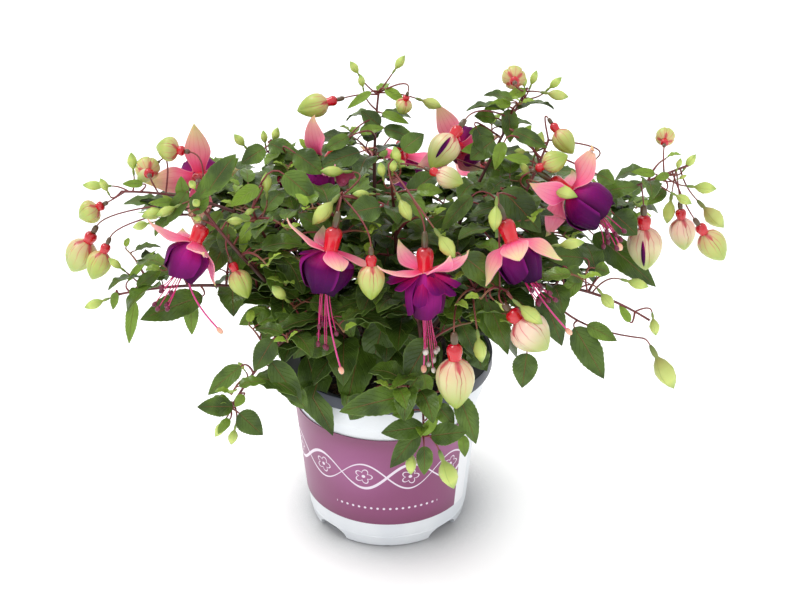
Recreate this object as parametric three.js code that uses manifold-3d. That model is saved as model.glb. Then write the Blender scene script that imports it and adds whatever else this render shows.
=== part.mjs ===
// A fuchsia in flower, planted in a hanging bowl that stands in a printed white pot.
// Millimetres, +Z up. The origin is the middle of the pot's foot and -Y is the front.
import * as THREE from "three";
import { mergeVertices } from "three/addons/utils/BufferGeometryUtils.js";
import Module from "manifold-3d";

const wasm = await Module();
wasm.setup();

// ---- Driving dimensions ------------------------------------------------------------

const FACETS = 28; // round the pot and its label
const BOWL_FACETS = 20; // round the bowl and the soil
const GAP = 0.3; // clearance between neighbouring solids
const UP = new THREE.Vector3(0, 0, 1);

// White pot: a tapered wall with a proud rim band, standing on four low feet.
const POT = { height: 117.8, footRadius: 51, heelRadius: 56.3, heelHeight: 9, heelBevel: 1.9, wallTop: 101.5,
  wallTopRadius: 64.3, rimRadius: 66.5, rimInner: 64.4, rimStep: 2, rimBevel: 1.3, wall: 1.5, floor: 2.4 };
const DRAIN = { count: 4, width: 23, topWidth: 16, height: 9, roof: 1.6, from: 22, to: 62,
  hole: 3.6, holeAt: 38, holeSides: 6 };

// Printed label round the pot: its edges are whole facets to the left and right of the front.
const LABEL = { low: 21.8, high: 93.6, facetsLeft: 10, facetsRight: 5, thickness: 0.6 };

// Hanging bowl: round bottom, wall inside the pot, stepped lip resting on the pot's rim.
const BOWL = { bottom: 24, baseRadius: 30, baseRise: 3, sideRadius: 50, sideRise: 24, wallTopRadius: 61.5,
  lipRadius: 71.8, lipTop: 127, lipBevel: 1.2, ledge: 1.9, wall: 2 };
const SOIL = { edgeTop: 117, middleTop: 123, shoulder: 1.2, clearance: 0.9 };

// Canes: rooted in blind holes, arched over a knee, tapering to the tip.
const CANE = { rootDepth: 24, rootRadius: 2.2, tipRadius: 1.3, sides: 3, steps: 5, kneeAt: 0.62,
  straight: 7, rootShare: 0.27, rootLeast: 7, rootMost: 33, holeRadius: 3, holeSides: 5, holeRise: 12 };
const STALK = { radius: 0.75, sides: 3, steps: 2, arch: 0.5, stop: 0.65, lead: 12, lowest: 0.46, places: 25 };

// Leaves: opposite pairs on short stalks, each a folded, drooping blade with waved edges.
// Angles are in degrees, and each "vary" is the most that a leaf departs from the rule.
const LEAF = { thickness: 0.7, root: 0.4, slenderness: 0.5, small: 34, fold: 0.32, wave: 0.9,
  firstPair: 0.3, pairAt: 0.35, reach: 1.3, shrink: 0.42, reachVary: 0.14, lean: 28, leanVary: 12,
  droop: 58, droopVary: 16, spread: 62, crossSpread: 95, spreadVary: 14 };
const TIP_LEAF = { at: 0.98, lean: 34, droop: 46, reach: 0.5, spreadVary: 20 };
const LEAF_DRAWS = { perCane: 31, tip: 29 };
const LEAF_CLEARANCE = 1.35;

// Green buds and large buds: girth as a share of the length from stalk to tip.
const GREEN_BUD_GIRTH = 0.4;
const LARGE_BUD_GIRTH = 0.5;

// Open flower, measured along its axis from the end of its stalk.
const BLOOM = { tubeEnd: 24, tubeSides: 8, tubeWall: 0.2, sepalRoot: 2.8, sepal: 28, sepalWidth: 14,
  sepalThickness: 0.9, sepalFold: 0.3, column: 1.9, columnLength: 16.5 };
const CUP = { length: 25, lobe: 3, radius: 13.5, mouth: 0.86, shoulderAt: 0.45, root: 3.8, petal: 0.8,
  wrap: 0.9, perPetal: 3, start: 0.45 };
const FILAMENT = { from: 15, length: 46, vary: 4, spread: 6, radius: 0.5, anther: 5, antherRadius: 1.6 };
const PISTIL = { from: 15, length: 62, spread: 12.8, radius: 0.6, stigma: 5, stigmaRadius: 1.7, compass: 5 };

const COLOURS = { pot: 0xebeef2, label: 0x96507f, bowl: 0x373c4b, soil: 0x241d18, foliage: 0x47703c,
  calyx: 0xee7189, corolla: 0x5f1272, largeBud: 0xf0d9c4 };

// Canes: the knee that each arches over, its tip, its leaf pairs and its longest leaf.
const CANES = [
  { name: "top_centre", knee: [-8, 20, 249], tip: [-5, 30, 298], pairs: 3, leaf: 34 },
  { name: "top_right", knee: [55, 15, 230], tip: [90, 30, 301], pairs: 3, leaf: 36 },
  { name: "right_high", knee: [113, 0, 219], tip: [193, 5, 258], pairs: 4, leaf: 36 },
  { name: "right_low", knee: [102, -50, 200], tip: [168, -40, 170], pairs: 3, leaf: 42 },
  { name: "left_high", knee: [-94, -5, 228], tip: [-170, 0, 242], pairs: 4, leaf: 36 },
  { name: "left_low", knee: [-98, -36, 192], tip: [-175, -35, 185], pairs: 3, leaf: 42, rootTurn: -12 },
  { name: "bottom_left", knee: [-58, -80, 181], tip: [-96, -90, 135], pairs: 3, leaf: 34 },
  { name: "front_hang", knee: [20, -72, 188], tip: [23, -104, 124], pairs: 3, leaf: 36 },
  { name: "centre", knee: [6, -20, 217], tip: [2, -45, 278], pairs: 3, leaf: 40 },
  { name: "centre_left", knee: [-34, -50, 214], tip: [-26, -60, 264], pairs: 3, leaf: 40 },
  { name: "left_centre", knee: [-69, -35, 214], tip: [-81, -45, 250], pairs: 3, leaf: 38 },
  { name: "top_left", knee: [-50, 15, 237], tip: [-75, 20, 270], pairs: 3, leaf: 36 },
  { name: "right_mid", knee: [78, -25, 233], tip: [102, 0, 277], pairs: 3, leaf: 38 },
  { name: "right_front", knee: [54, -66, 204], tip: [72, -88, 215], pairs: 3, leaf: 42 },
  { name: "left_front", knee: [-86, -58, 222], tip: [-112, -65, 266], pairs: 3, leaf: 38, rootTurn: 3 },
  { name: "back_left", knee: [-88, 78, 205], tip: [-132, 112, 182], pairs: 3, leaf: 40 },
  { name: "back_middle", knee: [-16, 90, 212], tip: [-30, 144, 184], pairs: 3, leaf: 42 },
  { name: "back_right", knee: [86, 76, 208], tip: [130, 112, 190], pairs: 3, leaf: 40 },
  { name: "side_left", knee: [-112, 36, 205], tip: [-160, 58, 196], pairs: 3, leaf: 38 },
  { name: "side_right", knee: [118, 40, 205], tip: [166, 60, 200], pairs: 3, leaf: 38 },
];

// Open flowers: the cane that bears each if it isn't the one of its own name, the end of its stalk,
// the mouth of its corolla, the sepals' angles from the axis at root and tip, and its turn about the
// axis in quarter turns.
const BLOOMS = [
  { name: "left_front", top: [-106, -55, 251], mouth: [-125, -69, 214], sepals: [78, 92], spin: 0.35 },
  { name: "centre_left", top: [-27, -78, 262], mouth: [-38, -88, 211], sepals: [84, 104], spin: 0.4 },
  { name: "centre", top: [23, -84, 252], mouth: [24, -92, 195], sepals: [80, 112], spin: 0.15 },
  { name: "right_front", cane: "right_mid", top: [66, -72, 264], mouth: [83, -86, 221],
    sepals: [84, 52], spin: 0.5, pistil: 0.6 },
  { name: "right_high", cane: "right_mid", top: [92, -32, 269], mouth: [128, -40, 246],
    sepals: [80, 88], spin: 0.6 },
  { name: "left_high", top: [-119, -8, 251], mouth: [-124, 38, 240], sepals: [84, 92], spin: 0.25 },
  { name: "top_left", cane: "top_centre", top: [-22, 12, 277], mouth: [-49, 0, 247],
    sepals: [78, 90], spin: 0.2 },
  { name: "top_right", top: [38, 8, 266], mouth: [54, 46, 256], sepals: [80, 96], spin: 0.85 },
  { name: "back_left", top: [-70, 102, 232], mouth: [-74, 116, 192], sepals: [80, 100], spin: 0.3 },
  { name: "back_right", top: [68, 102, 230], mouth: [68, 116, 190], sepals: [78, 94], spin: 0.1 },
  { name: "back_middle", top: [10, 120, 240], mouth: [11, 134, 200], sepals: [76, 84], spin: 0.6 },
];

// Large buds: the cane that bears each, the end of its stalk and its tip.
const LARGE_BUDS = [
  { name: "front", cane: "right_front", top: [40, -110, 200], tip: [42, -114, 150] },
  { name: "right_front", cane: "right_front", top: [69, -92, 209], tip: [96, -100, 182] },
  { name: "right_inner", cane: "right_high", top: [166, 2, 232], tip: [171, 0, 186] },
  { name: "right_outer", cane: "right_high", top: [194, 22, 226], tip: [200, 20, 191] },
  { name: "right_end", cane: "right_high", top: [197, -8, 227], tip: [219, -10, 198] },
  { name: "top_opening", cane: "top_right", top: [49, -12, 295], tip: [27, -30, 270] },
  { name: "top_left", cane: "top_centre", top: [-27, 32, 294], tip: [-58, 30, 286] },
  { name: "left_front", cane: "left_front", top: [-95, -60, 225], tip: [-84, -68, 200] },
  { name: "centre", cane: "centre_left", top: [-8, -92, 246], tip: [-8, -97, 214] },
  { name: "left_end", cane: "left_high", top: [-187, -4, 220], tip: [-209, -6, 188] },
  { name: "left_inner", cane: "left_high", top: [-176, -18, 218], tip: [-190, -22, 190] },
  { name: "left_top", cane: "left_high", top: [-145, 8, 260], tip: [-158, -4, 250] },
  { name: "centre_top", cane: "centre", top: [23, -48, 277], tip: [46, -60, 272] },
];

// Green buds: the cane that bears each, the end of its stalk and its tip.
const GREEN_BUDS = [
  ["left_high", [-176, 2, 245], [-195, 2, 246]],
  ["left_high", [-162, 6, 250], [-162, 6, 267]],
  ["left_low", [-176, -38, 185], [-192, -40, 179]],
  ["left_front", [-111, -66, 270], [-112, -74, 279]],
  ["left_centre", [-72, -44, 255], [-72, -44, 273]],
  ["top_left", [-89, 18, 263], [-98, 16, 275]],
  ["top_centre", [-16, 32, 307], [-23, 32, 318]],
  ["top_centre", [18, 28, 295], [36, 28, 289]],
  ["centre", [9, -48, 277], [5, -52, 292]],
  ["centre", [28, -92, 258], [40, -96, 241]],
  ["centre_left", [-26, -66, 268], [-43, -72, 251]],
  ["right_mid", [101, 4, 290], [117, -6, 270]],
  ["top_right", [91, 30, 300], [96, 30, 313]],
  ["top_right", [98, 26, 300], [117, 26, 296]],
  ["right_high", [177, 6, 267], [176, 6, 284]],
  ["right_high", [193, 4, 244], [213, 4, 242]],
  ["right_high", [202, 8, 233], [221, 6, 214]],
  ["right_low", [168, -44, 178], [172, -46, 162]],
  ["right_low", [170, -40, 152], [188, -42, 120]],
  ["front_hang", [15, -110, 121], [15, -112, 101]],
  ["front_hang", [32, -110, 118], [42, -114, 92]],
  ["bottom_left", [-98, -92, 130], [-106, -94, 117]],
  ["back_left", [-134, 116, 178], [-142, 122, 164]],
  ["back_middle", [-16, 148, 180], [-18, 154, 164]],
  ["back_right", [134, 116, 188], [146, 122, 178]],
  ["side_left", [-164, 60, 194], [-180, 64, 188]],
  ["side_right", [170, 62, 200], [186, 66, 196]],
];

// ---- Numbers and solids --------------------------------------------------------------

const vector = ([x, y, z]) => new THREE.Vector3(x, y, z);
const radians = THREE.MathUtils.degToRad;
const mix = THREE.MathUtils.lerp;

// A repeatable value between -1 and 1 for a pair of whole numbers.
function jitter(a, b) {
  const wave = Math.sin(a * 12.9898 + b * 78.233) * 43758.5453;
  return 2 * (wave - Math.floor(wave)) - 1;
}

// A direction from a compass angle and an elevation, both in radians.
function heading(compass, elevation) {
  const flat = Math.cos(elevation);
  return new THREE.Vector3(flat * Math.cos(compass), flat * Math.sin(compass), Math.sin(elevation));
}

// Shared vertices, no collapsed triangle, and faces that point out.
function closedMesh(geometry) {
  geometry.deleteAttribute("normal");
  geometry.deleteAttribute("uv");
  const merged = mergeVertices(geometry, 1e-3);
  const place = merged.attributes.position.array;
  const corner = (i) => new THREE.Vector3().fromArray(place, 3 * i);
  const triangles = [];
  let volume = 0;
  for (let i = 0; i < merged.index.count; i += 3) {
    const [a, b, c] = merged.index.array.slice(i, i + 3);
    if (a === b || b === c || c === a) continue;
    triangles.push([a, b, c]);
    volume += corner(a).dot(corner(b).cross(corner(c)));
  }
  const turned = volume < 0 ? triangles.map(([a, b, c]) => [a, c, b]) : triangles;
  return { place, index: new Uint32Array(turned.flat()) };
}

function solidOf(geometry) {
  const { place, index } = closedMesh(geometry);
  return new wasm.Manifold(new wasm.Mesh({ numProp: 3, vertProperties: place, triVerts: index }));
}

function joined(solids) {
  return solids.reduce((sum, solid) => sum.add(solid));
}

// The largest body of a join, without the scraps that touch nothing.
function mainBody(solid) {
  return solid.decompose().reduce((best, body) => (body.volume() > best.volume() ? body : best));
}

function meshOf(name, solid, colour, roughness) {
  const data = solid.getMesh();
  const geometry = new THREE.BufferGeometry();
  geometry.setAttribute("position", new THREE.BufferAttribute(data.vertProperties, 3));
  geometry.setIndex(new THREE.BufferAttribute(data.triVerts, 1));
  geometry.computeVertexNormals();
  const material = new THREE.MeshStandardMaterial({ color: colour, roughness, metalness: 0 });
  const mesh = new THREE.Mesh(geometry, material);
  mesh.name = name;
  return mesh;
}

// Quads between equal rows of points, each split along the same diagonal.
function gridTriangles(rows, columns, offset, closed) {
  const triangles = [];
  const across = closed ? columns : columns - 1;
  for (let r = 0; r < rows - 1; r += 1) {
    for (let c = 0; c < across; c += 1) {
      const a = offset + r * columns + c;
      const b = offset + r * columns + ((c + 1) % columns);
      triangles.push(a, b, b + columns, a, b + columns, a + columns);
    }
  }
  return triangles;
}

function fromTriangles(points, triangles) {
  const geometry = new THREE.BufferGeometry().setFromPoints(points);
  geometry.setIndex(triangles);
  return geometry;
}

// A closed solid through equal rings of points, with a fan over each end.
function loft(rings) {
  const sides = rings[0].length;
  const triangles = gridTriangles(rings.length, sides, 0, true);
  const last = (rings.length - 1) * sides;
  for (let c = 1; c < sides - 1; c += 1) {
    triangles.push(0, c + 1, c);
    triangles.push(last, last + c, last + c + 1);
  }
  return solidOf(fromTriangles(rings.flat(), triangles));
}

// A closed solid through rings of points whose last ring meets the first.
function loopLoft(rings) {
  const sides = rings[0].length;
  const triangles = gridTriangles(rings.length + 1, sides, 0, true)
    .map((i) => i % (rings.length * sides));
  return solidOf(fromTriangles(rings.flat(), triangles));
}

// A ring of points round a place, square to a direction.
function ring(centre, direction, radius, sides, turn = 0) {
  const across = new THREE.Vector3().crossVectors(direction, Math.abs(direction.z) > 0.9
    ? new THREE.Vector3(1, 0, 0) : UP).normalize();
  const along = new THREE.Vector3().crossVectors(direction, across).normalize();
  return Array.from({ length: sides }, (_, i) => {
    const angle = turn + (2 * Math.PI * i) / sides;
    const reach = typeof radius === "function" ? radius(angle) : radius;
    return centre.clone().addScaledVector(across, reach * Math.cos(angle))
      .addScaledVector(along, reach * Math.sin(angle));
  });
}

// A tube through centre points, its frame carried along without twisting.
function tube(points, radiusAt, sides) {
  let across = null;
  const rings = points.map((point, i) => {
    const before = points[Math.max(i - 1, 0)];
    const after = points[Math.min(i + 1, points.length - 1)];
    const direction = after.clone().sub(before).normalize();
    const seed = across ?? (Math.abs(direction.z) > 0.9 ? new THREE.Vector3(1, 0, 0) : UP);
    across = seed.clone().addScaledVector(direction, -seed.dot(direction)).normalize();
    const along = new THREE.Vector3().crossVectors(direction, across);
    const radius = radiusAt(i / (points.length - 1));
    return Array.from({ length: sides }, (_, k) => {
      const angle = (2 * Math.PI * k) / sides;
      return point.clone().addScaledVector(across, radius * Math.cos(angle))
        .addScaledVector(along, radius * Math.sin(angle));
    });
  });
  return loft(rings);
}

// A thin closed blade: rows of points moved half its thickness each way along their normals.
function blade(rows, thickness) {
  const columns = rows[0].length;
  const points = [];
  for (const side of [0.5, -0.5]) {
    for (const row of rows) {
      for (const { at, normal } of row) {
        points.push(at.clone().addScaledVector(normal, side * thickness));
      }
    }
  }
  const count = rows.length * columns;
  const top = gridTriangles(rows.length, columns, 0, false);
  const under = [];
  for (let i = 0; i < top.length; i += 3) {
    under.push(top[i] + count, top[i + 2] + count, top[i + 1] + count);
  }
  const rim = [];
  const wall = (a, b) => rim.push(a, b + count, a + count, a, b, b + count);
  for (let r = 0; r < rows.length - 1; r += 1) {
    wall(r * columns, (r + 1) * columns);
    wall((r + 2) * columns - 1, (r + 1) * columns - 1);
  }
  for (let c = 0; c < columns - 1; c += 1) {
    wall(c + 1, c);
    wall(count - columns + c, count - columns + c + 1);
  }
  return solidOf(fromTriangles(points, [...top, ...under, ...rim]));
}

// A solid of revolution about Z, its first vertex line at the front.
function revolve(profile, facets) {
  const points = profile.map(([radius, height]) => new THREE.Vector2(radius, height));
  const geometry = new THREE.LatheGeometry(points, facets);
  geometry.rotateX(Math.PI / 2);
  return solidOf(geometry);
}

// ---- Pot, label, bowl and soil ---------------------------------------------------------

const wallRadius = (height) => mix(POT.heelRadius, POT.wallTopRadius,
  (height - POT.heelHeight) / (POT.wallTop - POT.heelHeight));

const POT_OUTSIDE = [[0, 0], [POT.footRadius, 0], [POT.heelRadius - POT.heelBevel, POT.heelBevel],
  [POT.heelRadius, POT.heelHeight], [POT.wallTopRadius, POT.wallTop],
  [POT.rimRadius, POT.wallTop + POT.rimStep], [POT.rimRadius, POT.height - POT.rimBevel],
  [POT.rimRadius - POT.rimBevel / 2, POT.height], [POT.rimInner, POT.height]];

function potShell() {
  const inside = [[POT.rimInner, POT.wallTop + POT.rimStep], [POT.wallTopRadius - POT.wall, POT.wallTop],
    [POT.heelRadius - POT.wall, POT.heelHeight], [POT.footRadius, POT.floor + POT.wall], [0, POT.floor]];
  return revolve([...POT_OUTSIDE, ...inside], FACETS);
}

// A bar of tapered section that runs out from near the middle, over or in a drain channel.
function channelBar(grow, from, to, floor) {
  const half = DRAIN.width / 2 + grow;
  const topHalf = DRAIN.topWidth / 2 + grow;
  const top = DRAIN.height + grow;
  const shape = new THREE.Shape();
  shape.moveTo(-half, floor);
  shape.lineTo(half, floor);
  shape.lineTo(topHalf, top);
  shape.lineTo(-topHalf, top);
  const geometry = new THREE.ExtrudeGeometry(shape, { depth: to - from, bevelEnabled: false });
  geometry.translate(0, 0, from);
  geometry.rotateX(Math.PI / 2);
  return geometry;
}

function roundPin(radius, length, sides, x, y, z) {
  const geometry = new THREE.CylinderGeometry(radius, radius, length, sides);
  geometry.rotateX(Math.PI / 2);
  geometry.translate(x, y, z);
  return geometry;
}

function outerPot() {
  const filled = revolve([...POT_OUTSIDE, [0, POT.height]], FACETS);
  let pot = potShell();
  const turns = Array.from({ length: DRAIN.count }, (_, i) => (2 * Math.PI * (i + 0.5)) / DRAIN.count);
  for (const turn of turns) {
    const roof = channelBar(DRAIN.roof, DRAIN.from - DRAIN.roof, POT.heelRadius - POT.wall, POT.floor / 2);
    pot = pot.add(solidOf(roof.rotateZ(turn)).intersect(filled));
  }
  for (const turn of turns) {
    const hole = roundPin(DRAIN.hole, 3 * DRAIN.height, DRAIN.holeSides, 0, -DRAIN.holeAt, 0);
    pot = pot.subtract(solidOf(channelBar(0, DRAIN.from, DRAIN.to, -POT.floor).rotateZ(turn)));
    pot = pot.subtract(solidOf(hole.rotateZ(turn)));
  }
  return pot;
}

function potLabel() {
  const rows = [LABEL.low, LABEL.high].map((height) => {
    const radius = wallRadius(height) + GAP + LABEL.thickness / 2;
    const row = [];
    for (let i = -LABEL.facetsLeft; i <= LABEL.facetsRight; i += 1) {
      const angle = (2 * Math.PI * i) / FACETS - Math.PI / 2;
      const normal = new THREE.Vector3(Math.cos(angle), Math.sin(angle), 0);
      row.push({ at: normal.clone().multiplyScalar(radius).setZ(height), normal });
    }
    return row;
  });
  return blade(rows, LABEL.thickness);
}

const LEDGE_LOW = POT.height + GAP;
const BOWL_OUTSIDE = [[0, BOWL.bottom], [BOWL.baseRadius, BOWL.bottom + BOWL.baseRise],
  [BOWL.sideRadius, BOWL.bottom + BOWL.sideRise], [BOWL.wallTopRadius, LEDGE_LOW]];

// The bowl's round bottom moved inwards: straight up near the middle, mostly sideways on its side.
function bowlInside(clearance) {
  return BOWL_OUTSIDE.slice(0, 3).map(([radius, height]) => [
    Math.max(radius - clearance, 0), height + clearance * (radius < BOWL.sideRadius ? 1 : 0.3)]);
}

function hangingBowl() {
  const ledgeTop = LEDGE_LOW + BOWL.ledge;
  const lip = [[BOWL.lipRadius - BOWL.lipBevel, LEDGE_LOW], [BOWL.lipRadius, LEDGE_LOW + BOWL.lipBevel],
    [BOWL.lipRadius, BOWL.lipTop], [BOWL.lipRadius - BOWL.ledge, BOWL.lipTop],
    [BOWL.lipRadius - BOWL.ledge, ledgeTop], [BOWL.wallTopRadius - BOWL.wall, ledgeTop]];
  return revolve([...BOWL_OUTSIDE, ...lip, ...bowlInside(BOWL.wall).reverse()], BOWL_FACETS);
}

function soilBody(holes) {
  const edge = BOWL.wallTopRadius - BOWL.wall - SOIL.clearance;
  const ground = revolve([...bowlInside(BOWL.wall + 2 * GAP), [edge, SOIL.edgeTop],
    [edge / 2, SOIL.middleTop - SOIL.shoulder], [0, SOIL.middleTop]], BOWL_FACETS);
  return holes.reduce((body, hole) => body.subtract(hole), ground);
}

// ---- Canes and stalks --------------------------------------------------------------------

// A cane leaves the soil on the side that it leans to.
function rootOf(cane) {
  const reach = Math.hypot(cane.knee[0], cane.knee[1]);
  const out = THREE.MathUtils.clamp(reach * CANE.rootShare, CANE.rootLeast, CANE.rootMost);
  const compass = Math.atan2(cane.knee[1], cane.knee[0]) + radians(cane.rootTurn ?? 0);
  return heading(compass, 0).multiplyScalar(out).setZ(SOIL.middleTop - CANE.rootDepth);
}

// The arch of a cane above the soil: it passes its knee on the way to its tip.
function archOf(cane) {
  const start = rootOf(cane).setZ(SOIL.middleTop + CANE.straight);
  const tip = vector(cane.tip);
  const t = CANE.kneeAt;
  const bend = vector(cane.knee).addScaledVector(start, -((1 - t) ** 2))
    .addScaledVector(tip, -(t * t)).divideScalar(2 * t * (1 - t));
  return new THREE.QuadraticBezierCurve3(start, bend, tip);
}

// A point on the faceted stem, by its share of the arch.
function stemPoint(cane, share) {
  const corners = archOf(cane).getPoints(CANE.steps);
  const first = Math.min(Math.floor(share * CANE.steps), CANE.steps - 1);
  return corners[first].clone().lerp(corners[first + 1], share * CANE.steps - first);
}

function caneStem(cane) {
  const points = [rootOf(cane), ...archOf(cane).getPoints(CANE.steps)];
  return tube(points, (share) => mix(CANE.rootRadius, CANE.tipRadius, share), CANE.sides);
}

function caneHole(cane) {
  const root = rootOf(cane);
  const length = CANE.rootDepth + CANE.holeRise;
  return solidOf(roundPin(CANE.holeRadius, length, CANE.holeSides, root.x, root.y,
    root.z - GAP + length / 2));
}

// The point of a cane's upper part that is nearest to a place.
function bearingPoint(cane, place) {
  const points = Array.from({ length: STALK.places }, (_, i) =>
    stemPoint(cane, mix(STALK.lowest, 1, i / STALK.places)));
  return points.reduce((best, p) => (p.distanceTo(place) < best.distanceTo(place) ? p : best));
}

// A flower stalk arches from its cane and arrives along the flower's own axis.
function stalkPoints(cane, top, axis) {
  const from = bearingPoint(cane, top.clone().addScaledVector(axis, -STALK.lead));
  const bend = top.clone().addScaledVector(axis, -STALK.arch * from.distanceTo(top));
  return new THREE.QuadraticBezierCurve3(from, bend, top).getPoints(STALK.steps);
}

function stalk(cane, top, axis) {
  const end = top.clone().addScaledVector(axis, -STALK.stop);
  return tube(stalkPoints(cane, end, axis), () => STALK.radius, STALK.sides);
}

// ---- Buds ----------------------------------------------------------------------------------

// Rings along an axis, from triples of share of length, share of girth and depth of the seams.
function spindle(top, tip, girth, profile, sides) {
  const axis = tip.clone().sub(top);
  const direction = axis.clone().normalize();
  const rings = profile.map(([along, wide, seam]) => ring(top.clone().addScaledVector(axis, along),
    direction, (angle) => ((wide * girth) / 2) * (1 - seam * Math.cos(2 * angle) ** 2), sides));
  return loft(rings);
}

const GREEN_BUD_PROFILE = [[0.26, 0.3], [0.62, 1], [1, 0]];
function greenBud([, top, tip], cane) {
  const from = vector(top);
  const axis = vector(tip).sub(from);
  const half = (axis.length() * GREEN_BUD_GIRTH) / 2;
  const stalkPart = stalkPoints(cane, from, axis.clone().normalize());
  const bodyPart = GREEN_BUD_PROFILE.map(([along]) => from.clone().addScaledVector(axis, along));
  const radii = [...stalkPart.map(() => STALK.radius),
    ...GREEN_BUD_PROFILE.map(([, wide]) => wide * half)];
  const points = [...stalkPart, ...bodyPart];
  return tube(points, (share) => radii[Math.round(share * (points.length - 1))], 4);
}

const LARGE_BUD_PROFILE = [[0, 0.14, 0], [0.17, 0.22, 0], [0.29, 0.44, 0], [0.4, 0.4, 0],
  [0.66, 1, 0.12], [1, 0, 0]];
function largeBud({ top, tip }) {
  const girth = vector(top).distanceTo(vector(tip)) * LARGE_BUD_GIRTH;
  return spindle(vector(top), vector(tip), girth, LARGE_BUD_PROFILE, 8);
}

// ---- Flowers ---------------------------------------------------------------------------------

// The frame of a flower: its third axis runs from the stalk to the corolla's mouth.
function bloomFrame({ top, mouth, spin }) {
  const axis = vector(mouth).sub(vector(top)).normalize();
  const side = new THREE.Vector3().crossVectors(axis, new THREE.Vector3(0, 1, 0)).normalize();
  const third = new THREE.Vector3().crossVectors(axis, side);
  const frame = new THREE.Matrix4().makeBasis(side, third, axis).setPosition(vector(top));
  return frame.multiply(new THREE.Matrix4().makeRotationZ((spin * Math.PI) / 2));
}

// A point at a compass angle, a distance from the axis and a distance along it.
const around = (angle, radius, along) =>
  new THREE.Vector3(radius * Math.cos(angle), radius * Math.sin(angle), along);

function placed(frame, rows) {
  const turn = new THREE.Matrix3().setFromMatrix4(frame);
  return rows.map((row) => row.map(({ at, normal }) => ({
    at: at.clone().applyMatrix4(frame), normal: normal.clone().applyMatrix3(turn).normalize() })));
}

const SEPAL_STATIONS = [[0.5, 1], [1, 0]];
const TUBE_PROFILE = [[0, 1.3], [0.2, 2.6], [0.38, 2.3], [0.58, 5.1], [0.965, 3.4]];

// Outer and inner points of a sepal past its root, bending from its first angle to its last.
function sepalRows(compass, [first, last]) {
  let along = BLOOM.tubeEnd;
  let out = BLOOM.sepalRoot;
  let before = 0;
  const side = new THREE.Vector3(-Math.sin(compass), Math.cos(compass), 0);
  return SEPAL_STATIONS.map(([share, wide]) => {
    const angle = radians(mix(first, last, share));
    along += (share - before) * BLOOM.sepal * Math.cos(angle);
    out += (share - before) * BLOOM.sepal * Math.sin(angle);
    before = share;
    const half = (wide * BLOOM.sepalWidth) / 2;
    const normal = around(compass, Math.cos(angle), -Math.sin(angle));
    const middle = around(compass, out, along);
    return (wide ? [-1, 0, 1] : [0]).map((column) => {
      const at = middle.clone().addScaledVector(side, column * half)
        .addScaledVector(normal, column ? -half * BLOOM.sepalFold : 0);
      return [0.5, -0.5].map((face) => at.clone().addScaledVector(normal, face * BLOOM.sepalThickness));
    });
  });
}

// The two faces and the rim of a sepal between the tube's outer and inner end rings.
function sepalTriangles(outer, inner, rows, points) {
  const add = (point) => points.push(point) - 1;
  const [upper, lower] = [0, 1].map((face) => rows.map((row) => row.map((pair) => add(pair[face]))));
  const [top, under] = [[outer, ...upper], [inner, ...lower]];
  const triangles = [];
  for (const [rowsOfFace, flip] of [[top, false], [under, true]]) {
    const face = (a, b, c) => triangles.push(...(flip ? [a, c, b] : [a, b, c]));
    const [root, wide, [tip]] = rowsOfFace;
    for (const c of [0, 1]) {
      face(root[c], root[c + 1], wide[c + 1]);
      face(root[c], wide[c + 1], wide[c]);
      face(wide[c], wide[c + 1], tip);
    }
  }
  for (const r of [0, 1]) {
    const end = top[r + 1].length - 1;
    const [a, b, a2, b2] = [top[r][0], under[r][0], top[r + 1][0], under[r + 1][0]];
    const [c, d, c2, d2] = [top[r][2], under[r][2], top[r + 1][end], under[r + 1][end]];
    triangles.push(a, a2, b2, a, b2, b, c2, c, d, c2, d, d2);
  }
  return triangles;
}

// Ovary, tube, four sepals and the column of the style, in one skin.
function calyxShell(frame, sepals) {
  const sides = BLOOM.tubeSides;
  const circle = (radius, along) => Array.from({ length: sides }, (_, i) =>
    around((2 * Math.PI * i) / sides, radius, along));
  const tubeRings = TUBE_PROFILE.map(([share, radius]) => circle(radius, share * BLOOM.tubeEnd));
  const [[, mouthRadius]] = TUBE_PROFILE.slice(-1);
  const columnRings = [circle(mouthRadius - BLOOM.tubeWall, BLOOM.tubeEnd),
    circle(BLOOM.column, BLOOM.tubeEnd + BLOOM.tubeWall / 4),
    circle(BLOOM.column, BLOOM.tubeEnd + BLOOM.columnLength)];
  const points = [...tubeRings, ...columnRings].flat();
  const outerRing = (tubeRings.length - 1) * sides;
  const innerRing = outerRing + sides;
  const triangles = [...gridTriangles(tubeRings.length, sides, 0, true),
    ...gridTriangles(columnRings.length, sides, innerRing, true)];
  const last = innerRing + 2 * sides;
  for (let c = 1; c < sides - 1; c += 1) triangles.push(0, c + 1, c, last, last + c, last + c + 1);
  for (let i = 0; i < 4; i += 1) {
    const places = [0, 1, 2].map((c) => (2 * i + c) % sides);
    const rows = sepalRows((2 * Math.PI * (2 * i + 1)) / sides, sepals);
    triangles.push(...sepalTriangles(places.map((c) => outerRing + c), places.map((c) => innerRing + c),
      rows, points));
  }
  return solidOf(fromTriangles(points.map((point) => point.applyMatrix4(frame)), triangles));
}

// A thin three-sided thread with a thicker end, through [along, out, radius] places.
function thread(frame, compass, places) {
  const points = places.map(([along, out]) =>
    around(compass, out, BLOOM.tubeEnd + along).applyMatrix4(frame));
  return tube(points, (share) => places[Math.round(share * (places.length - 1))][2], 3);
}

function filament(frame, compass, length) {
  const { from, spread, radius, anther, antherRadius } = FILAMENT;
  return thread(frame, compass, [[from, radius * 1.7, radius], [length - anther, spread * 0.85, radius],
    [length - anther * 0.6, spread * 0.95, antherRadius], [length, spread, 0]]);
}

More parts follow.
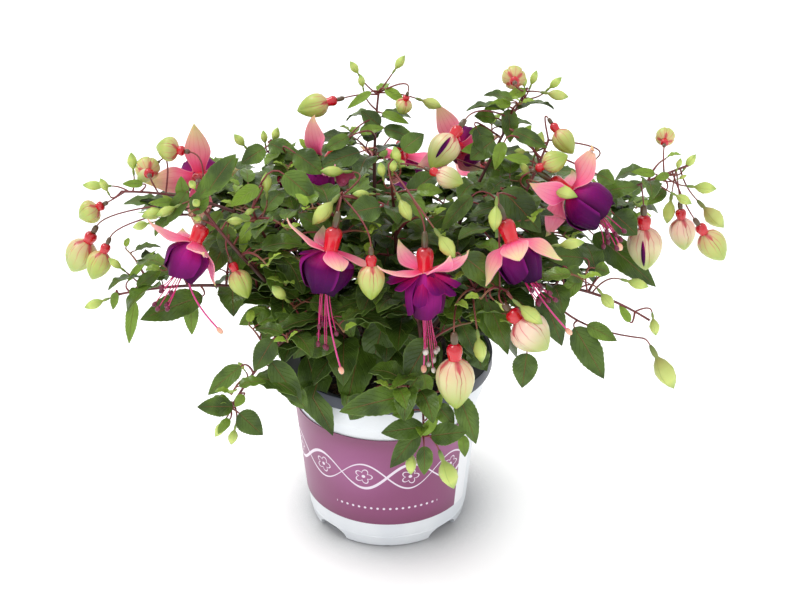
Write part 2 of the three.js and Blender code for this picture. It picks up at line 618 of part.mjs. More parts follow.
function pistil(frame, compass) {
  const { from, length, spread, radius, stigma, stigmaRadius } = PISTIL;
  return thread(frame, compass, [[from, radius, radius], [mix(from, length, 0.5), spread * 0.23, radius],
    [length - stigma, spread * 0.86, radius], [length - stigma * 0.8, spread * 0.91, stigmaRadius],
    [length, spread, 0]]);
}

function calyx(bloom) {
  const frame = bloomFrame(bloom);
  const filaments = [1, 3].map((compass, i) =>
    filament(frame, compass, FILAMENT.length + FILAMENT.vary * jitter(i, bloom.top[0])));
  return mainBody(joined([calyxShell(frame, bloom.sepals), ...filaments,
    pistil(frame, bloom.pistil ?? PISTIL.compass)]));
}

// Four petals wrapped round the style in one cup: each has its first edge outside the last one's.
function petalCup(frame) {
  const columns = 4 * CUP.perPetal;
  const skin = (share, radius, inset) => Array.from({ length: columns }, (_, i) => {
    const within = (i % CUP.perPetal) / (CUP.perPetal - 1);
    const out = radius + share * CUP.wrap * (1 - 2 * within) - inset;
    const along = share * (CUP.length - CUP.lobe + CUP.lobe * Math.sin(Math.PI * mix(0.15, 0.85, within)));
    return around((2 * Math.PI * (i + 0.5)) / columns, out, BLOOM.tubeEnd + CUP.start + along)
      .applyMatrix4(frame);
  });
  const shoulder = [CUP.shoulderAt, CUP.radius];
  const mouth = [1, CUP.radius * CUP.mouth];
  return loopLoft([skin(0, CUP.root, 0), skin(...shoulder, 0), skin(...mouth, 0),
    skin(...mouth, CUP.petal), skin(...shoulder, CUP.petal), skin(0, BLOOM.column + CUP.start, 0)]);
}

// A short outer petal that stands out from the cup: [along, out, half width] stations.
const OUTER_PETAL = [[6.2, 9, 1], [8.6, 16, 4.8], [10.2, 21.5, 0]];
function outerPetal(frame, compass) {
  const side = new THREE.Vector3(-Math.sin(compass), Math.cos(compass), 0);
  const normal = around(compass, 0.6, -0.8);
  const rows = OUTER_PETAL.map(([along, out, half]) => [-1, 0, 1].map((column) => ({
    normal, at: around(compass, out, BLOOM.tubeEnd + along).addScaledVector(side, column * half)
      .addScaledVector(normal, column ? -0.2 * half : 0) })));
  return blade(placed(frame, rows), CUP.petal);
}

function corolla(bloom) {
  const frame = bloomFrame(bloom);
  const outer = [0, Math.PI].map((compass) => outerPetal(frame, compass));
  return mainBody(joined([petalCup(frame), ...outer]));
}

// ---- Leaves ------------------------------------------------------------------------------------

const BIG_LEAF_STATIONS = [[0, 0], [0.36, 0.94], [0.7, 0.86], [1, 0]];
const SMALL_LEAF_STATIONS = [[0, 0], [0.42, 1], [1, 0]];

// The rows of a leaf: it leaves its cane at one elevation and droops towards its tip.
function leafRows({ from, compass, lean, droop, length }, grow) {
  const big = length >= LEAF.small;
  const stations = big ? BIG_LEAF_STATIONS : SMALL_LEAF_STATIONS;
  const side = new THREE.Vector3(-Math.sin(compass), Math.cos(compass), 0);
  const at = from.clone();
  let before = 0;
  return stations.map(([share, wide], row) => {
    const elevation = radians(lean - droop * share);
    at.addScaledVector(heading(compass, elevation), (share - before) * (length + grow));
    before = share;
    const half = (wide * length * LEAF.slenderness) / 2 + (row ? 0 : LEAF.root) + grow;
    const normal = heading(compass, elevation + Math.PI / 2).multiplyScalar(share < 1 ? 1 : 0);
    const wave = big && row > 1 ? LEAF.wave * (row % 2 ? 1 : -1) : 0;
    return [-1, 1].map((column) => ({ normal, at: at.clone().addScaledVector(side, column * half)
      .addScaledVector(normal, half * LEAF.fold + wave * column) }));
  });
}

const leafBlade = (spec, grow = 0) => blade(leafRows(spec, grow), LEAF.thickness + 2 * grow);

// Opposite pairs, each turned across the last and smaller towards the tip.
function leafSpecs(cane, caneIndex) {
  const out = stemPoint(cane, 1).sub(stemPoint(cane, 0.5));
  const ahead = Math.atan2(out.y, out.x);
  const specs = [];
  for (let pair = 0; pair < cane.pairs; pair += 1) {
    const share = mix(LEAF.firstPair, 1, (pair + LEAF.pairAt) / cane.pairs);
    const turn = pair % 2 ? LEAF.crossSpread : LEAF.spread;
    for (const side of [0, 1]) {
      const draw = caneIndex * LEAF_DRAWS.perCane + pair * 2 + side;
      const compass = ahead + radians((2 * side - 1) * turn + LEAF.spreadVary * jitter(draw, 1));
      specs.push({ from: stemPoint(cane, share), compass, lean: LEAF.lean + LEAF.leanVary * jitter(draw, 2),
        droop: LEAF.droop + LEAF.droopVary * jitter(draw, 3), length: cane.leaf * LEAF.reach
          * (1 - LEAF.shrink * share) * (1 + LEAF.reachVary * jitter(draw, 4)) });
    }
  }
  const draw = caneIndex * LEAF_DRAWS.perCane + LEAF_DRAWS.tip;
  specs.push({ ...TIP_LEAF, from: stemPoint(cane, TIP_LEAF.at), length: cane.leaf * TIP_LEAF.reach,
    compass: ahead + radians(TIP_LEAF.spreadVary * jitter(draw, 1)) });
  return specs;
}

// Turns and droops, in degrees, tried until a leaf is clear of its neighbours.
const TRIES = [[0, 0], [16, 0], [-16, 0], [0, 22], [0, -22], [32, 10], [-32, 10], [48, -14], [-48, -14]];

function clearLeaf(spec, neighbours) {
  for (const [turn, drop] of TRIES) {
    const tried = { ...spec, compass: spec.compass + radians(turn), droop: spec.droop + drop };
    if (isClear(leafBlade(tried, GAP * LEAF_CLEARANCE), neighbours)) return leafBlade(tried);
  }
  return null;
}

// ---- The whole plant -----------------------------------------------------------------------------

function boxOf(solid) {
  const place = solid.getMesh().vertProperties;
  return new THREE.Box3().setFromArray(place);
}

function isClear(solid, neighbours) {
  const box = boxOf(solid);
  return neighbours.every((other) => !box.intersectsBox(other.box)
    || solid.intersect(other.solid).numTri() === 0);
}

function stockOf(name, solid, colour, roughness) {
  return { name, solid, colour, roughness, box: boxOf(solid) };
}

function potStock() {
  return [
    stockOf("outer_pot", outerPot(), COLOURS.pot, 0.45),
    stockOf("pot_label", potLabel(), COLOURS.label, 0.4),
    stockOf("hanging_bowl", hangingBowl(), COLOURS.bowl, 0.5),
    stockOf("soil", soilBody(CANES.map(caneHole)), COLOURS.soil, 0.95),
  ];
}

function flowerStock() {
  const calyces = BLOOMS.map((bloom) =>
    stockOf("calyx_" + bloom.name, calyx(bloom), COLOURS.calyx, 0.5));
  const corollas = BLOOMS.map((bloom) =>
    stockOf("corolla_" + bloom.name, corolla(bloom), COLOURS.corolla, 0.6));
  const buds = LARGE_BUDS.map((bud) =>
    stockOf("large_bud_" + bud.name, largeBud(bud), COLOURS.largeBud, 0.5));
  return [...calyces, ...corollas, ...buds];
}

// A cane with the stalks of its flowers and large buds, and its green buds.
function bareCane(cane) {
  const stalks = [...BLOOMS, ...LARGE_BUDS].filter((flower) => (flower.cane ?? flower.name) === cane.name)
    .map((flower) => {
      const axis = vector(flower.mouth ?? flower.tip).sub(vector(flower.top)).normalize();
      return stalk(cane, vector(flower.top), axis);
    });
  const buds = GREEN_BUDS.filter(([name]) => name === cane.name).map((bud) => greenBud(bud, cane));
  return joined([caneStem(cane), ...stalks, ...buds]);
}

// Leaves are added one cane at a time, so that each keeps clear of all that stands already.
function leafyCanes(standing) {
  const canes = CANES.map((cane) =>
    stockOf("cane_" + cane.name, bareCane(cane), COLOURS.foliage, 0.6));
  CANES.forEach((cane, i) => {
    const neighbours = [...standing, ...canes.filter((other) => other !== canes[i])];
    const leaves = leafSpecs(cane, i).map((spec) => clearLeaf(spec, neighbours)).filter(Boolean);
    const solid = mainBody(joined([canes[i].solid, ...leaves]));
    Object.assign(canes[i], { solid, box: boxOf(solid) });
  });
  return canes;
}

const standing = [...potStock(), ...flowerStock()];
const plant = new THREE.Group();
for (const { name, solid, colour, roughness } of [...standing, ...leafyCanes(standing)]) {
  plant.add(meshOf(name, solid, colour, roughness));
}

export default plant;
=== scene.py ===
"""A fuchsia in flower, planted in a dark hanging bowl that stands in a printed white pot.

Sizes and places are in millimetres, +Z up, with -Y the front, and each mesh is scaled to metres
when it becomes an object. Angles in the tables are in degrees.
"""
import logging
import math
import random
from dataclasses import dataclass, field
from enum import Enum
from functools import reduce
from typing import Callable, Iterable, Sequence

import bmesh
import bpy
from mathutils import Matrix, Vector, noise


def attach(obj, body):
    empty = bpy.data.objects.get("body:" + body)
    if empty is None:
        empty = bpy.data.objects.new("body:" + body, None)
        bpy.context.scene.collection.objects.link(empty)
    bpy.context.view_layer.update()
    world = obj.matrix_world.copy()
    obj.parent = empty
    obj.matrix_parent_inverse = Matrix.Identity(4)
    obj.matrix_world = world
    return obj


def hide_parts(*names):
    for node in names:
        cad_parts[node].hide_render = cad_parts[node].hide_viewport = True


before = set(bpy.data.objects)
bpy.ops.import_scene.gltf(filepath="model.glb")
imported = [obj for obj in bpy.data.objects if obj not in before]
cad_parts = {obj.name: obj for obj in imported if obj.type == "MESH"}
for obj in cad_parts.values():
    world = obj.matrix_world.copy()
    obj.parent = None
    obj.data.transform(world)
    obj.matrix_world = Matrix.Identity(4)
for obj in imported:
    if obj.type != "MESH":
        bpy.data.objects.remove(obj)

LOG = logging.getLogger("fuchsia")
METRE = 0.001
BODY = "root"
UP = Vector((0.0, 0.0, 1.0))
FULL_TURN = 2 * math.pi

BMesh = bmesh.types.BMesh
Form = bpy.types.Mesh
Material = bpy.types.Material
Piece = bpy.types.Object
Socket = bpy.types.NodeSocket
Pair = tuple[float, float]
Triple = tuple[float, float, float]
Profile = tuple[tuple[float, float], ...]
Stops = tuple[tuple[float, Triple], ...]


# ---- Numbers ----


def mix(a: float, b: float, share: float) -> float:
    """The value a share of the way from a to b."""
    return a + (b - a) * share


def clamp(value: float, low: float, high: float) -> float:
    """The value held between two limits."""
    return max(low, min(high, value))


def smooth(value: float) -> float:
    """A soft step from 0 to 1."""
    held = clamp(value, 0.0, 1.0)
    return held * held * (3.0 - 2.0 * held)


def jitter(a: float, b: float) -> float:
    """A repeatable value between -1 and 1 for a pair of numbers."""
    wave = math.sin(a * 12.9898 + b * 78.233) * 43758.5453
    return 2.0 * (wave - math.floor(wave)) - 1.0


def run(first: float, last: float, steps: int) -> list[float]:
    """Evenly spaced values from the first to the last, both included."""
    return [mix(first, last, i / steps) for i in range(steps + 1)]


def around(compass: float, out: float, along: float) -> Vector:
    """A place round Z, from an angle in radians, a distance out and a height."""
    return Vector((out * math.cos(compass), out * math.sin(compass), along))


def heading(compass: float, elevation: float) -> Vector:
    """A direction from a compass angle and an elevation, in radians."""
    return around(compass, math.cos(elevation), math.sin(elevation))


def arch(start: Vector, bend: Vector, end: Vector, share: float) -> Vector:
    """A point on the quadratic arch from start to end."""
    return start * (1 - share) ** 2 + bend * 2 * share * (1 - share) + end * share * share


def arch_points(start: Vector, bend: Vector, end: Vector, steps: int) -> list[Vector]:
    """Evenly spaced points on a quadratic arch, its ends included."""
    return [arch(start, bend, end, share) for share in run(0.0, 1.0, steps)]


# ---- Node graphs ----


class Wire:
    """A number or colour on its way through a node graph. Sums with it add Math nodes."""

    def __init__(self, graph: "Graph", socket: Socket) -> None:
        """Holds the output that it comes from."""
        self.graph = graph
        self.socket = socket

    def __add__(self, other: "Value") -> "Wire":
        """The sum of two values."""
        return self.graph.math("ADD", self, other)

    def __sub__(self, other: "Value") -> "Wire":
        """The difference of two values."""
        return self.graph.math("SUBTRACT", self, other)

    def __mul__(self, other: "Value") -> "Wire":
        """The product of two values."""
        return self.graph.math("MULTIPLY", self, other)

    def __truediv__(self, other: "Value") -> "Wire":
        """The quotient of two values."""
        return self.graph.math("DIVIDE", self, other)

    def __mod__(self, other: "Value") -> "Wire":
        """What a division leaves."""
        return self.graph.math("MODULO", self, other)

    def __abs__(self) -> "Wire":
        """The value without its sign."""
        return self.graph.math("ABSOLUTE", self)


Value = float | Wire
Colour = Triple | Wire


class Graph:
    """Shorthand for the nodes of one material."""

    def __init__(self, name: str) -> None:
        """Starts a material with its shader."""
        self.material = bpy.data.materials.new(name)
        self.material.use_nodes = True
        self.tree = self.material.node_tree
        self.shader = self.tree.nodes["Principled BSDF"]

    def feed(self, socket: Socket, value: Value | Triple) -> None:
        """Links a socket to a wire, or sets its number, its direction or its screen colour."""
        if isinstance(value, Wire):
            self.tree.links.new(value.socket, socket)
        else:
            socket.default_value = rgba(value) if socket.type == "RGBA" else value

    def node(self, kind: str, output: str | int, inputs: dict, **settings: object) -> Wire:
        """Adds a node.

        Args:
            kind: its type, without the words that all of them start with.
            output: the output that is wanted.
            inputs: what its inputs are fed with.
            settings: its fields.

        Returns:
            The output.
        """
        made = self.tree.nodes.new("ShaderNode" + kind)
        for key, value in settings.items():
            setattr(made, key, value)
        for key, value in inputs.items():
            self.feed(made.inputs[key], value)
        return Wire(self, made.outputs[output])

    def math(self, operation: str, *values: Value) -> Wire:
        """The result of a Math node."""
        return self.node("Math", 0, dict(enumerate(values)), operation=operation)

    def most(self, *values: Wire) -> Wire:
        """The largest of some values."""
        return reduce(lambda first, second: self.math("MAXIMUM", first, second), values)

    def distance(self, aside: Wire, above: Wire) -> Wire:
        """How far a place is from a middle, from its two offsets."""
        return self.math("SQRT", aside * aside + above * above)

    def repeat(self, along: Wire, pitch: float) -> Wire:
        """The offset from the middle of the stretch that a place is in, with the start of one at 0."""
        return (along + 100 * pitch) % pitch - pitch / 2

    def ridges(self, around: Wire, count: float, shift: float = 0.0) -> Wire:
        """So many humps from 0 to 1, with a sharp valley between two."""
        return abs(self.math("SINE", around * (math.pi * count) + shift))

    def spread(self, value: Wire, low: float, high: float, first: float = 0.0, last: float = 1.0) -> Wire:
        """A soft step of a value between two limits, mapped onto two others."""
        limits = {"Value": value, "From Min": low, "From Max": high, "To Min": first, "To Max": last}
        return self.node("MapRange", "Result", limits, interpolation_type="SMOOTHSTEP")

    def fade(self, value: Wire, low: float, high: float) -> Wire:
        """A soft step down from 1 to 0."""
        return self.spread(value, low, high, 1.0, 0.0)

    def layers(self, colour: Colour, *layers: tuple[Wire, Colour]) -> Wire:
        """A colour with others over it, each laid on by its share."""
        for share, over in layers:
            colour = self.node("Mix", 2, {"Factor": share, 6: colour, 7: over}, data_type="RGBA")
        return colour

    def ramp(self, share: Wire, stops: Stops) -> Wire:
        """A colour read from stops along a share."""
        made = self.node("ValToRGB", "Color", {"Fac": share})
        elements = made.socket.node.color_ramp.elements
        while len(elements) < len(stops):
            elements.new(0.5)
        for element, (place, colour) in zip(elements, stops):
            element.position = place
            element.color = rgba(colour)
        return made

    def noise(self, scale: float, detail: float = 2.0, upright: float = 1.0) -> Wire:
        """Noise on the object's own coordinates, counted per metre and slower or faster upwards."""
        place = self.node("TexCoord", "Object", {})
        if upright != 1.0:
            place = self.node("Mapping", "Vector", {"Vector": place, "Scale": (1.0, 1.0, upright)})
        return self.node("TexNoise", "Fac", {"Scale": scale, "Detail": detail, "Vector": place})

    def uv(self) -> tuple[Wire, Wire]:
        """The two coordinates of the piece's own UV map."""
        place = self.node("UVMap", "UV", {}, uv_map="UVMap")
        return self.node("SeparateXYZ", "X", {0: place}), self.node("SeparateXYZ", "Y", {0: place})

    def tint(self) -> Wire:
        """The piece's own tint, a number from 0 to 1 at each vertex."""
        return self.node("Attribute", "Fac", {}, attribute_name="tint")

    def bump(self, height: Wire, strength: float, depth: float) -> None:
        """Adds relief to the shader, its depth in millimetres."""
        relief = {"Strength": strength, "Distance": depth * METRE, "Height": height}
        self.feed(self.shader.inputs["Normal"], self.node("Bump", "Normal", relief))

    def finish(self, base_color: Colour, **sockets: Value) -> Material:
        """Sets the shader's colour and its other sockets, named with underscores."""
        for name, value in {"base_color": base_color, **sockets}.items():
            socket = name.replace("_", " ").title().replace("Ior", "IOR")
            self.feed(self.shader.inputs[socket], value)
        return self.material


def rgba(colour: Triple) -> tuple[float, float, float, float]:
    """A linear colour from one given as 0 to 255 on the screen."""
    linear = [(c / 255 / 12.92) if c <= 10 else ((c / 255 + 0.055) / 1.055) ** 2.4 for c in colour]
    return (linear[0], linear[1], linear[2], 1.0)


# ---- Finishes ----


@dataclass(frozen=True)
class Plastic:
    """Moulded plastic: an even colour with a fine grain and faint flow marks."""

    name: str
    colour: Triple
    shade: Triple
    roughness: float
    grain: float
    coat: float = 0.0

    def build(self) -> Material:
        """Makes the material."""
        graph = Graph(self.name)
        flow = graph.spread(graph.noise(30.0, 2.0, 0.25), 0.35, 0.7)
        graph.bump(graph.noise(900.0, 3.0), 0.35, self.grain)
        return graph.finish(graph.layers(self.colour, (flow, self.shade)), roughness=self.roughness,
                            coat_weight=self.coat, coat_roughness=0.25)


@dataclass(frozen=True)
class PrintedWrap:
    """Satin print: purple, painted light and shade, under a braided line of blossoms, bare at its right end.

    Sizes are millimetres, sideways from the front of the pot and up from the wrap's lower edge.
    """

    name: str
    width: float
    height: float
    front: float
    bare: float
    ground: Triple = (130, 58, 104)
    # The glow colour is a painted highlight, and the edge colour a painted shade near the upper and lower
    # edges.
    glow: Triple = (156, 84, 136)
    painted_highlights: tuple[Triple, ...] = ((-22.0, 44.0, 42.0), (48.0, 62.0, 30.0))
    edge: Triple = (112, 50, 84)
    edge_shade_depth: float = 12.0
    ink: Triple = (226, 214, 228)
    blank: Triple = (232, 234, 238)
    wave: float = 62.0
    swing: float = 10.0
    middle: float = 41.0
    line: float = 0.8
    bloom: float = 6.4
    row: float = 14.0
    row_half: float = 37.0
    dot: float = 0.9
    dot_gap: float = 4.4

    def build(self) -> Material:
        """Makes the material."""
        graph = Graph(self.name)
        u, v = graph.uv()
        place = (u * self.width - self.front, v * self.height)
        drawn = graph.most(self.braid(graph, *place), self.blossoms(graph, *place), self.dots(graph, *place))
        bare = graph.spread(place[0], self.bare - 0.1, self.bare + 0.1)
        colour = graph.layers(self.ground_with_painted_light(graph, *place), (drawn, self.ink), (bare, self.blank))
        graph.bump(graph.noise(500.0), 0.2, 0.03)
        return graph.finish(colour, roughness=0.42, coat_weight=0.25, coat_roughness=0.3)

    def ground_with_painted_light(self, graph: Graph, along: Wire, high: Wire) -> Wire:
        """The ground colour, lighter in two painted highlights and darker in painted shade towards its upper
        and lower edges.
        """
        layers = []
        # Painted highlights.
        for centre, level, reach in self.painted_highlights:
            far = graph.distance((along - centre) / reach, (high - level) / (reach * 0.8))
            layers.append((graph.spread(far, 0.0, 1.0, 0.75, 0.0), self.glow))
        # Painted shade towards the upper and lower edges.
        rim = graph.math("MINIMUM", high, graph.math("SUBTRACT", self.height, high))
        layers.append((graph.spread(rim, 0.0, self.edge_shade_depth, 0.55, 0.0), self.edge))
        return graph.layers(self.ground, *layers)

    def braid(self, graph: Graph, along: Wire, high: Wire) -> Wire:
        """Two waved lines that cross each other, thick where they rise."""
        turn = along * (FULL_TURN / self.wave)
        strands = []
        for sign, weight in ((1.0, self.line), (-1.0, 0.5 * self.line)):
            level = graph.math("SINE", turn) * (sign * self.swing) + self.middle
            thick = graph.math("COSINE", turn) * (0.45 * weight) + (weight + 0.2)
            strands.append(graph.fade(abs(high - level) - thick, -0.12, 0.12))
        return graph.most(*strands)

    def blossoms(self, graph: Graph, along: Wire, high: Wire) -> Wire:
        """Outlined five-petalled blossoms inside the loops of the braid."""
        aside, above = graph.repeat(along, self.wave / 2), high - self.middle
        far = graph.distance(aside, above)
        petal = abs(graph.math("COSINE", graph.math("ARCTAN2", above, aside) * 2.5))
        outline = abs(far - (petal * (0.42 * self.bloom) + 0.5 * self.bloom))
        return graph.most(graph.fade(outline, 0.28, 0.5), graph.fade(far, 1.1, 1.35))

    def dots(self, graph: Graph, along: Wire, high: Wire) -> Wire:
        """A short row of dots under the braid."""
        far = graph.distance(graph.repeat(along, self.dot_gap), high - self.row)
        dot = graph.fade(far, self.dot - 0.12, self.dot + 0.12)
        return dot * graph.fade(abs(along), self.row_half, self.row_half + 0.2)


@dataclass(frozen=True)
class Compost:
    """Dark peat with paler fibre."""

    name: str
    dark: Triple = (26, 20, 17)
    pale: Triple = (74, 52, 36)
    roughness: float = 0.95

    def build(self) -> Material:
        """Makes the material."""
        graph = Graph(self.name)
        clods = graph.spread(graph.noise(260.0, 6.0), 0.42, 0.75)
        graph.bump(graph.noise(700.0, 5.0), 0.9, 0.8)
        return graph.finish(graph.layers(self.dark, (clods, self.pale)), roughness=self.roughness)


class Side(Enum):
    """The two faces of a leaf."""

    UPPER = "upper"
    UNDER = "under"


@dataclass(frozen=True)
class LeafSkin:
    """Leaf green with a red midrib, slanted side veins and a netted, slightly glossy surface."""

    side: Side
    veins: float = 8.0
    slant: float = 0.34

    def build(self) -> Material:
        """Makes the material."""
        graph = Graph("leaf_" + self.side.value)
        u, v = graph.uv()
        aside = abs(u * 2.0 - 1.0)
        off = abs(graph.math("FRACT", (v - aside * self.slant) * self.veins) - 0.5)
        vein = graph.fade(off, 0.0, 0.07) * graph.spread(aside, 0.55, 1.0, 1.0, 0.1)
        rib = graph.fade(aside, 0.01, 0.055)
        graph.bump(graph.most(vein, rib) * -0.9 + graph.noise(520.0, 3.0) * 0.55, 0.8, 0.5)
        rough, shine = (0.62, 0.3) if self.side is Side.UNDER else (0.32, 0.36)
        return graph.finish(self.flesh(graph, aside, vein, rib), roughness=rough, specular_ior_level=shine)

    def flesh(self, graph: Graph, aside: Wire, vein: Wire, rib: Wire) -> Wire:
        """The leaf's colour: darker when old, with paler veins and edge.

        Args:
            graph: the graph that it is added to.
            aside: how far a place is from the midrib, from 0 to 1.
            vein: how much of a side vein there is.
            rib: how much of the midrib there is.

        Returns:
            The colour.
        """
        if self.side is Side.UPPER:
            ages = (62, 86, 30), (98, 128, 40), (132, 164, 52), (168, 196, 72)
            shade, line, rib_colour = (36, 54, 20), (122, 148, 62), (136, 88, 58)
        else:
            ages = (84, 106, 66), (98, 124, 70), (122, 152, 74), (158, 184, 86)
            shade, line, rib_colour = (74, 96, 66), (140, 156, 96), (150, 104, 78)
        tint = graph.tint()
        patches = graph.spread(graph.noise(55.0, 3.0), 0.38, 0.68, 0.0, 0.75)
        return graph.layers(
            graph.ramp(tint, tuple(zip((0.0, 0.4, 0.75, 1.0), ages))),
            (patches * graph.spread(tint, 0.4, 0.8, 1.0, 0.2), shade),
            (vein * 0.4, line),
            (graph.spread(aside, 0.9, 1.0, 0.0, 0.35), line),
            (rib * 0.62, graph.layers(rib_colour, (graph.spread(tint, 0.45, 0.8), (150, 176, 92)))))


@dataclass(frozen=True)
class Bark:
    """Stem skin: red-brown at the root, wine red along the shoots and green at the growing tips."""

    stops: Stops = ((0.0, (52, 36, 28)), (0.3, (74, 40, 36)), (0.6, (126, 48, 52)), (0.85, (130, 98, 62)),
                    (1.0, (112, 134, 60)))

    def build(self) -> Material:
        """Makes the material."""
        graph = Graph("stem_skin")
        colour = graph.ramp(graph.tint() + (graph.noise(160.0) * 0.3 - 0.15), self.stops)
        graph.bump(graph.noise(600.0, 3.0, 0.2), 0.5, 0.25)
        return graph.finish(colour, roughness=0.45)


@dataclass(frozen=True)
class GreenBudSkin:
    """Lime bud skin with four faint seams, a yellow belly and a green tip."""

    fresh: Stops = ((0.0, (104, 130, 62)), (0.28, (140, 158, 70)), (0.4, (172, 192, 92)),
                    (0.75, (196, 212, 112)), (1.0, (128, 164, 66)))
    ripe: Stops = ((0.0, (96, 90, 52)), (0.26, (120, 104, 58)), (0.34, (176, 120, 84)),
                   (0.5, (208, 204, 132)), (0.8, (206, 214, 124)), (1.0, (134, 162, 66)))
    seam: Triple = (120, 146, 66)

    def build(self) -> Material:
        """Makes the material."""
        graph = Graph("green_bud_skin")
        u, v = graph.uv()
        seam = graph.fade(graph.ridges(u, 4), 0.0, 0.2)
        ripe = (graph.spread(graph.tint(), 0.3, 0.7), graph.ramp(v, self.ripe))
        colour = graph.layers(graph.ramp(v, self.fresh), ripe, (seam * 0.4, self.seam))
        graph.bump(graph.noise(420.0), 0.3, 0.25)
        return graph.finish(colour, roughness=0.4, subsurface_weight=0.12, subsurface_scale=0.002)


@dataclass(frozen=True)
class LargeBudSkin:
    """Cream and pink sepals, still closed: crimson lines run from the tube, and the tip is lime."""

    cream: Triple = (238, 212, 188)
    green: Triple = (188, 200, 104)
    blush: Triple = (240, 150, 160)
    vein: Triple = (206, 52, 88)
    star: Triple = (194, 30, 62)
    seam: Triple = (190, 56, 84)
    tip: Triple = (150, 174, 66)

    def build(self) -> Material:
        """Makes the material."""
        graph = Graph("large_bud_skin")
        u, v = graph.uv()
        around = u + (graph.noise(110.0) * 0.05 - 0.025)
        seam = graph.ridges(around, 4)
        star = seam / graph.spread(v, 0.36, 0.5, 0.8, 0.05)
        line = graph.fade(seam, 0.0, 0.07) * graph.spread(v, 0.7, 1.0, 0.75, 0.1)
        ribs = graph.ridges(around, 12, math.pi / 2)
        vein = graph.fade(ribs, 0.0, 0.3) * graph.spread(v, 0.4, 0.85, 0.7, 0.0)
        colour = graph.layers(
            self.cream,
            (graph.spread(graph.tint(), 0.15, 0.85), self.green),
            (graph.spread(v, 0.38, 0.6, 0.3, 0.0), self.blush),
            (vein, self.vein),
            (graph.spread(star, 0.2, 1.2, 0.85, 0.0), self.star),
            (line, self.seam),
            (graph.spread(v, 0.5, 0.95, 0.0, 0.9), self.tip))
        graph.bump(graph.noise(260.0) - line, 0.4, 0.3)
        return graph.finish(colour, roughness=0.36, subsurface_weight=0.2, subsurface_scale=0.003)


@dataclass(frozen=True)
class Waxy:
    """Glossy plant skin that runs from one colour at its foot to another at its end."""

    name: str
    stops: Stops
    roughness: float = 0.25
    coat: float = 0.5
    glow: float = 0.15

    def build(self) -> Material:
        """Makes the material."""
        graph = Graph(self.name)
        _, v = graph.uv()
        colour = graph.ramp(v + (graph.noise(140.0) * 0.16 - 0.08), self.stops)
        graph.bump(graph.noise(480.0), 0.2, 0.15)
        return graph.finish(colour, roughness=self.roughness, coat_weight=self.coat, coat_roughness=0.12,
                            subsurface_weight=self.glow, subsurface_scale=0.002)


@dataclass(frozen=True)
class Petal:
    """Petal or sepal skin: colours along its length, a second where tinted, veins, a sheen, painted shade
    where lapped.
    """

    name: str
    stops: Stops
    edge: Triple
    vein: Triple
    bright: Triple
    brightens: tuple[float, float]
    veins: float
    vein_strength: float
    roughness: float
    sheen: float
    glow: float
    shine: float = 0.3
    # under sets how strongly the lap colour paints shade where a petal runs under its neighbour.
    under: float = 0.0
    lap: Triple = (22, 2, 30)

    def build(self) -> Material:
        """Makes the material."""
        graph = Graph(self.name)
        u, v = graph.uv()
        along = v + (graph.noise(90.0, 3.0) * 0.24 - 0.12)
        ray = graph.fade(graph.ridges(u, self.veins), 0.0, 0.45) * graph.spread(v, 0.5, 1.0, 1.0, 0.15)
        colour = graph.layers(
            graph.ramp(along, self.stops),
            (graph.tint() * graph.spread(along, 0.1, 0.95, *self.brightens), self.bright),
            (ray * self.vein_strength, self.vein),
            (graph.spread(abs(u * 2.0 - 1.0), 0.86, 1.0, 0.0, 0.7), self.edge),
            # Painted shade, darker where the petal runs under its neighbour.
            (graph.spread(u, 0.34, 0.68, 0.0, self.under), self.lap))
        graph.bump(graph.noise(300.0, 3.0) - ray * 0.6, 0.45, 0.35)
        return graph.finish(colour, roughness=self.roughness, sheen_weight=self.sheen, sheen_roughness=0.35,
                            specular_ior_level=self.shine, subsurface_weight=self.glow,
                            subsurface_scale=0.0015)


TUBE_STOPS = ((0.0, (168, 8, 30)), (0.3, (208, 8, 34)), (0.75, (226, 18, 42)), (1.0, (234, 70, 84)))
OVARY_STOPS = ((0.0, (92, 66, 44)), (0.4, (78, 82, 42)), (0.8, (82, 58, 40)), (1.0, (120, 34, 44)))
SEPAL_OUTER_STOPS = ((0.0, (222, 44, 92)), (0.22, (238, 84, 138)), (0.6, (242, 126, 166)),
                     (0.85, (240, 178, 172)), (1.0, (186, 202, 104)))
SEPAL_INNER_STOPS = ((0.0, (218, 40, 110)), (0.35, (238, 90, 152)), (0.8, (242, 124, 168)),
                     (1.0, (212, 196, 126)))
PETAL_STOPS = ((0.0, (206, 22, 108)), (0.12, (150, 12, 98)), (0.32, (92, 5, 80)), (0.7, (72, 4, 74)),
               (1.0, (54, 4, 60)))
SKIRT_STOPS = ((0.0, (218, 30, 110)), (0.4, (176, 20, 104)), (0.75, (122, 14, 96)), (1.0, (84, 10, 84)))
FILAMENT_STOPS = ((0.0, (196, 30, 110)), (0.6, (176, 34, 112)), (1.0, (132, 22, 84)))
ANTHER_STOPS = ((0.0, (98, 14, 50)), (0.5, (118, 22, 62)), (1.0, (86, 12, 48)))
POLLEN_STOPS = ((0.0, (150, 90, 104)), (0.4, (214, 206, 198)), (1.0, (232, 228, 220)))
PISTIL_STOPS = ((0.0, (216, 60, 140)), (0.6, (226, 92, 160)), (1.0, (220, 84, 146)))
STIGMA_STOPS = ((0.0, (236, 150, 140)), (0.5, (240, 184, 158)), (1.0, (238, 196, 168)))


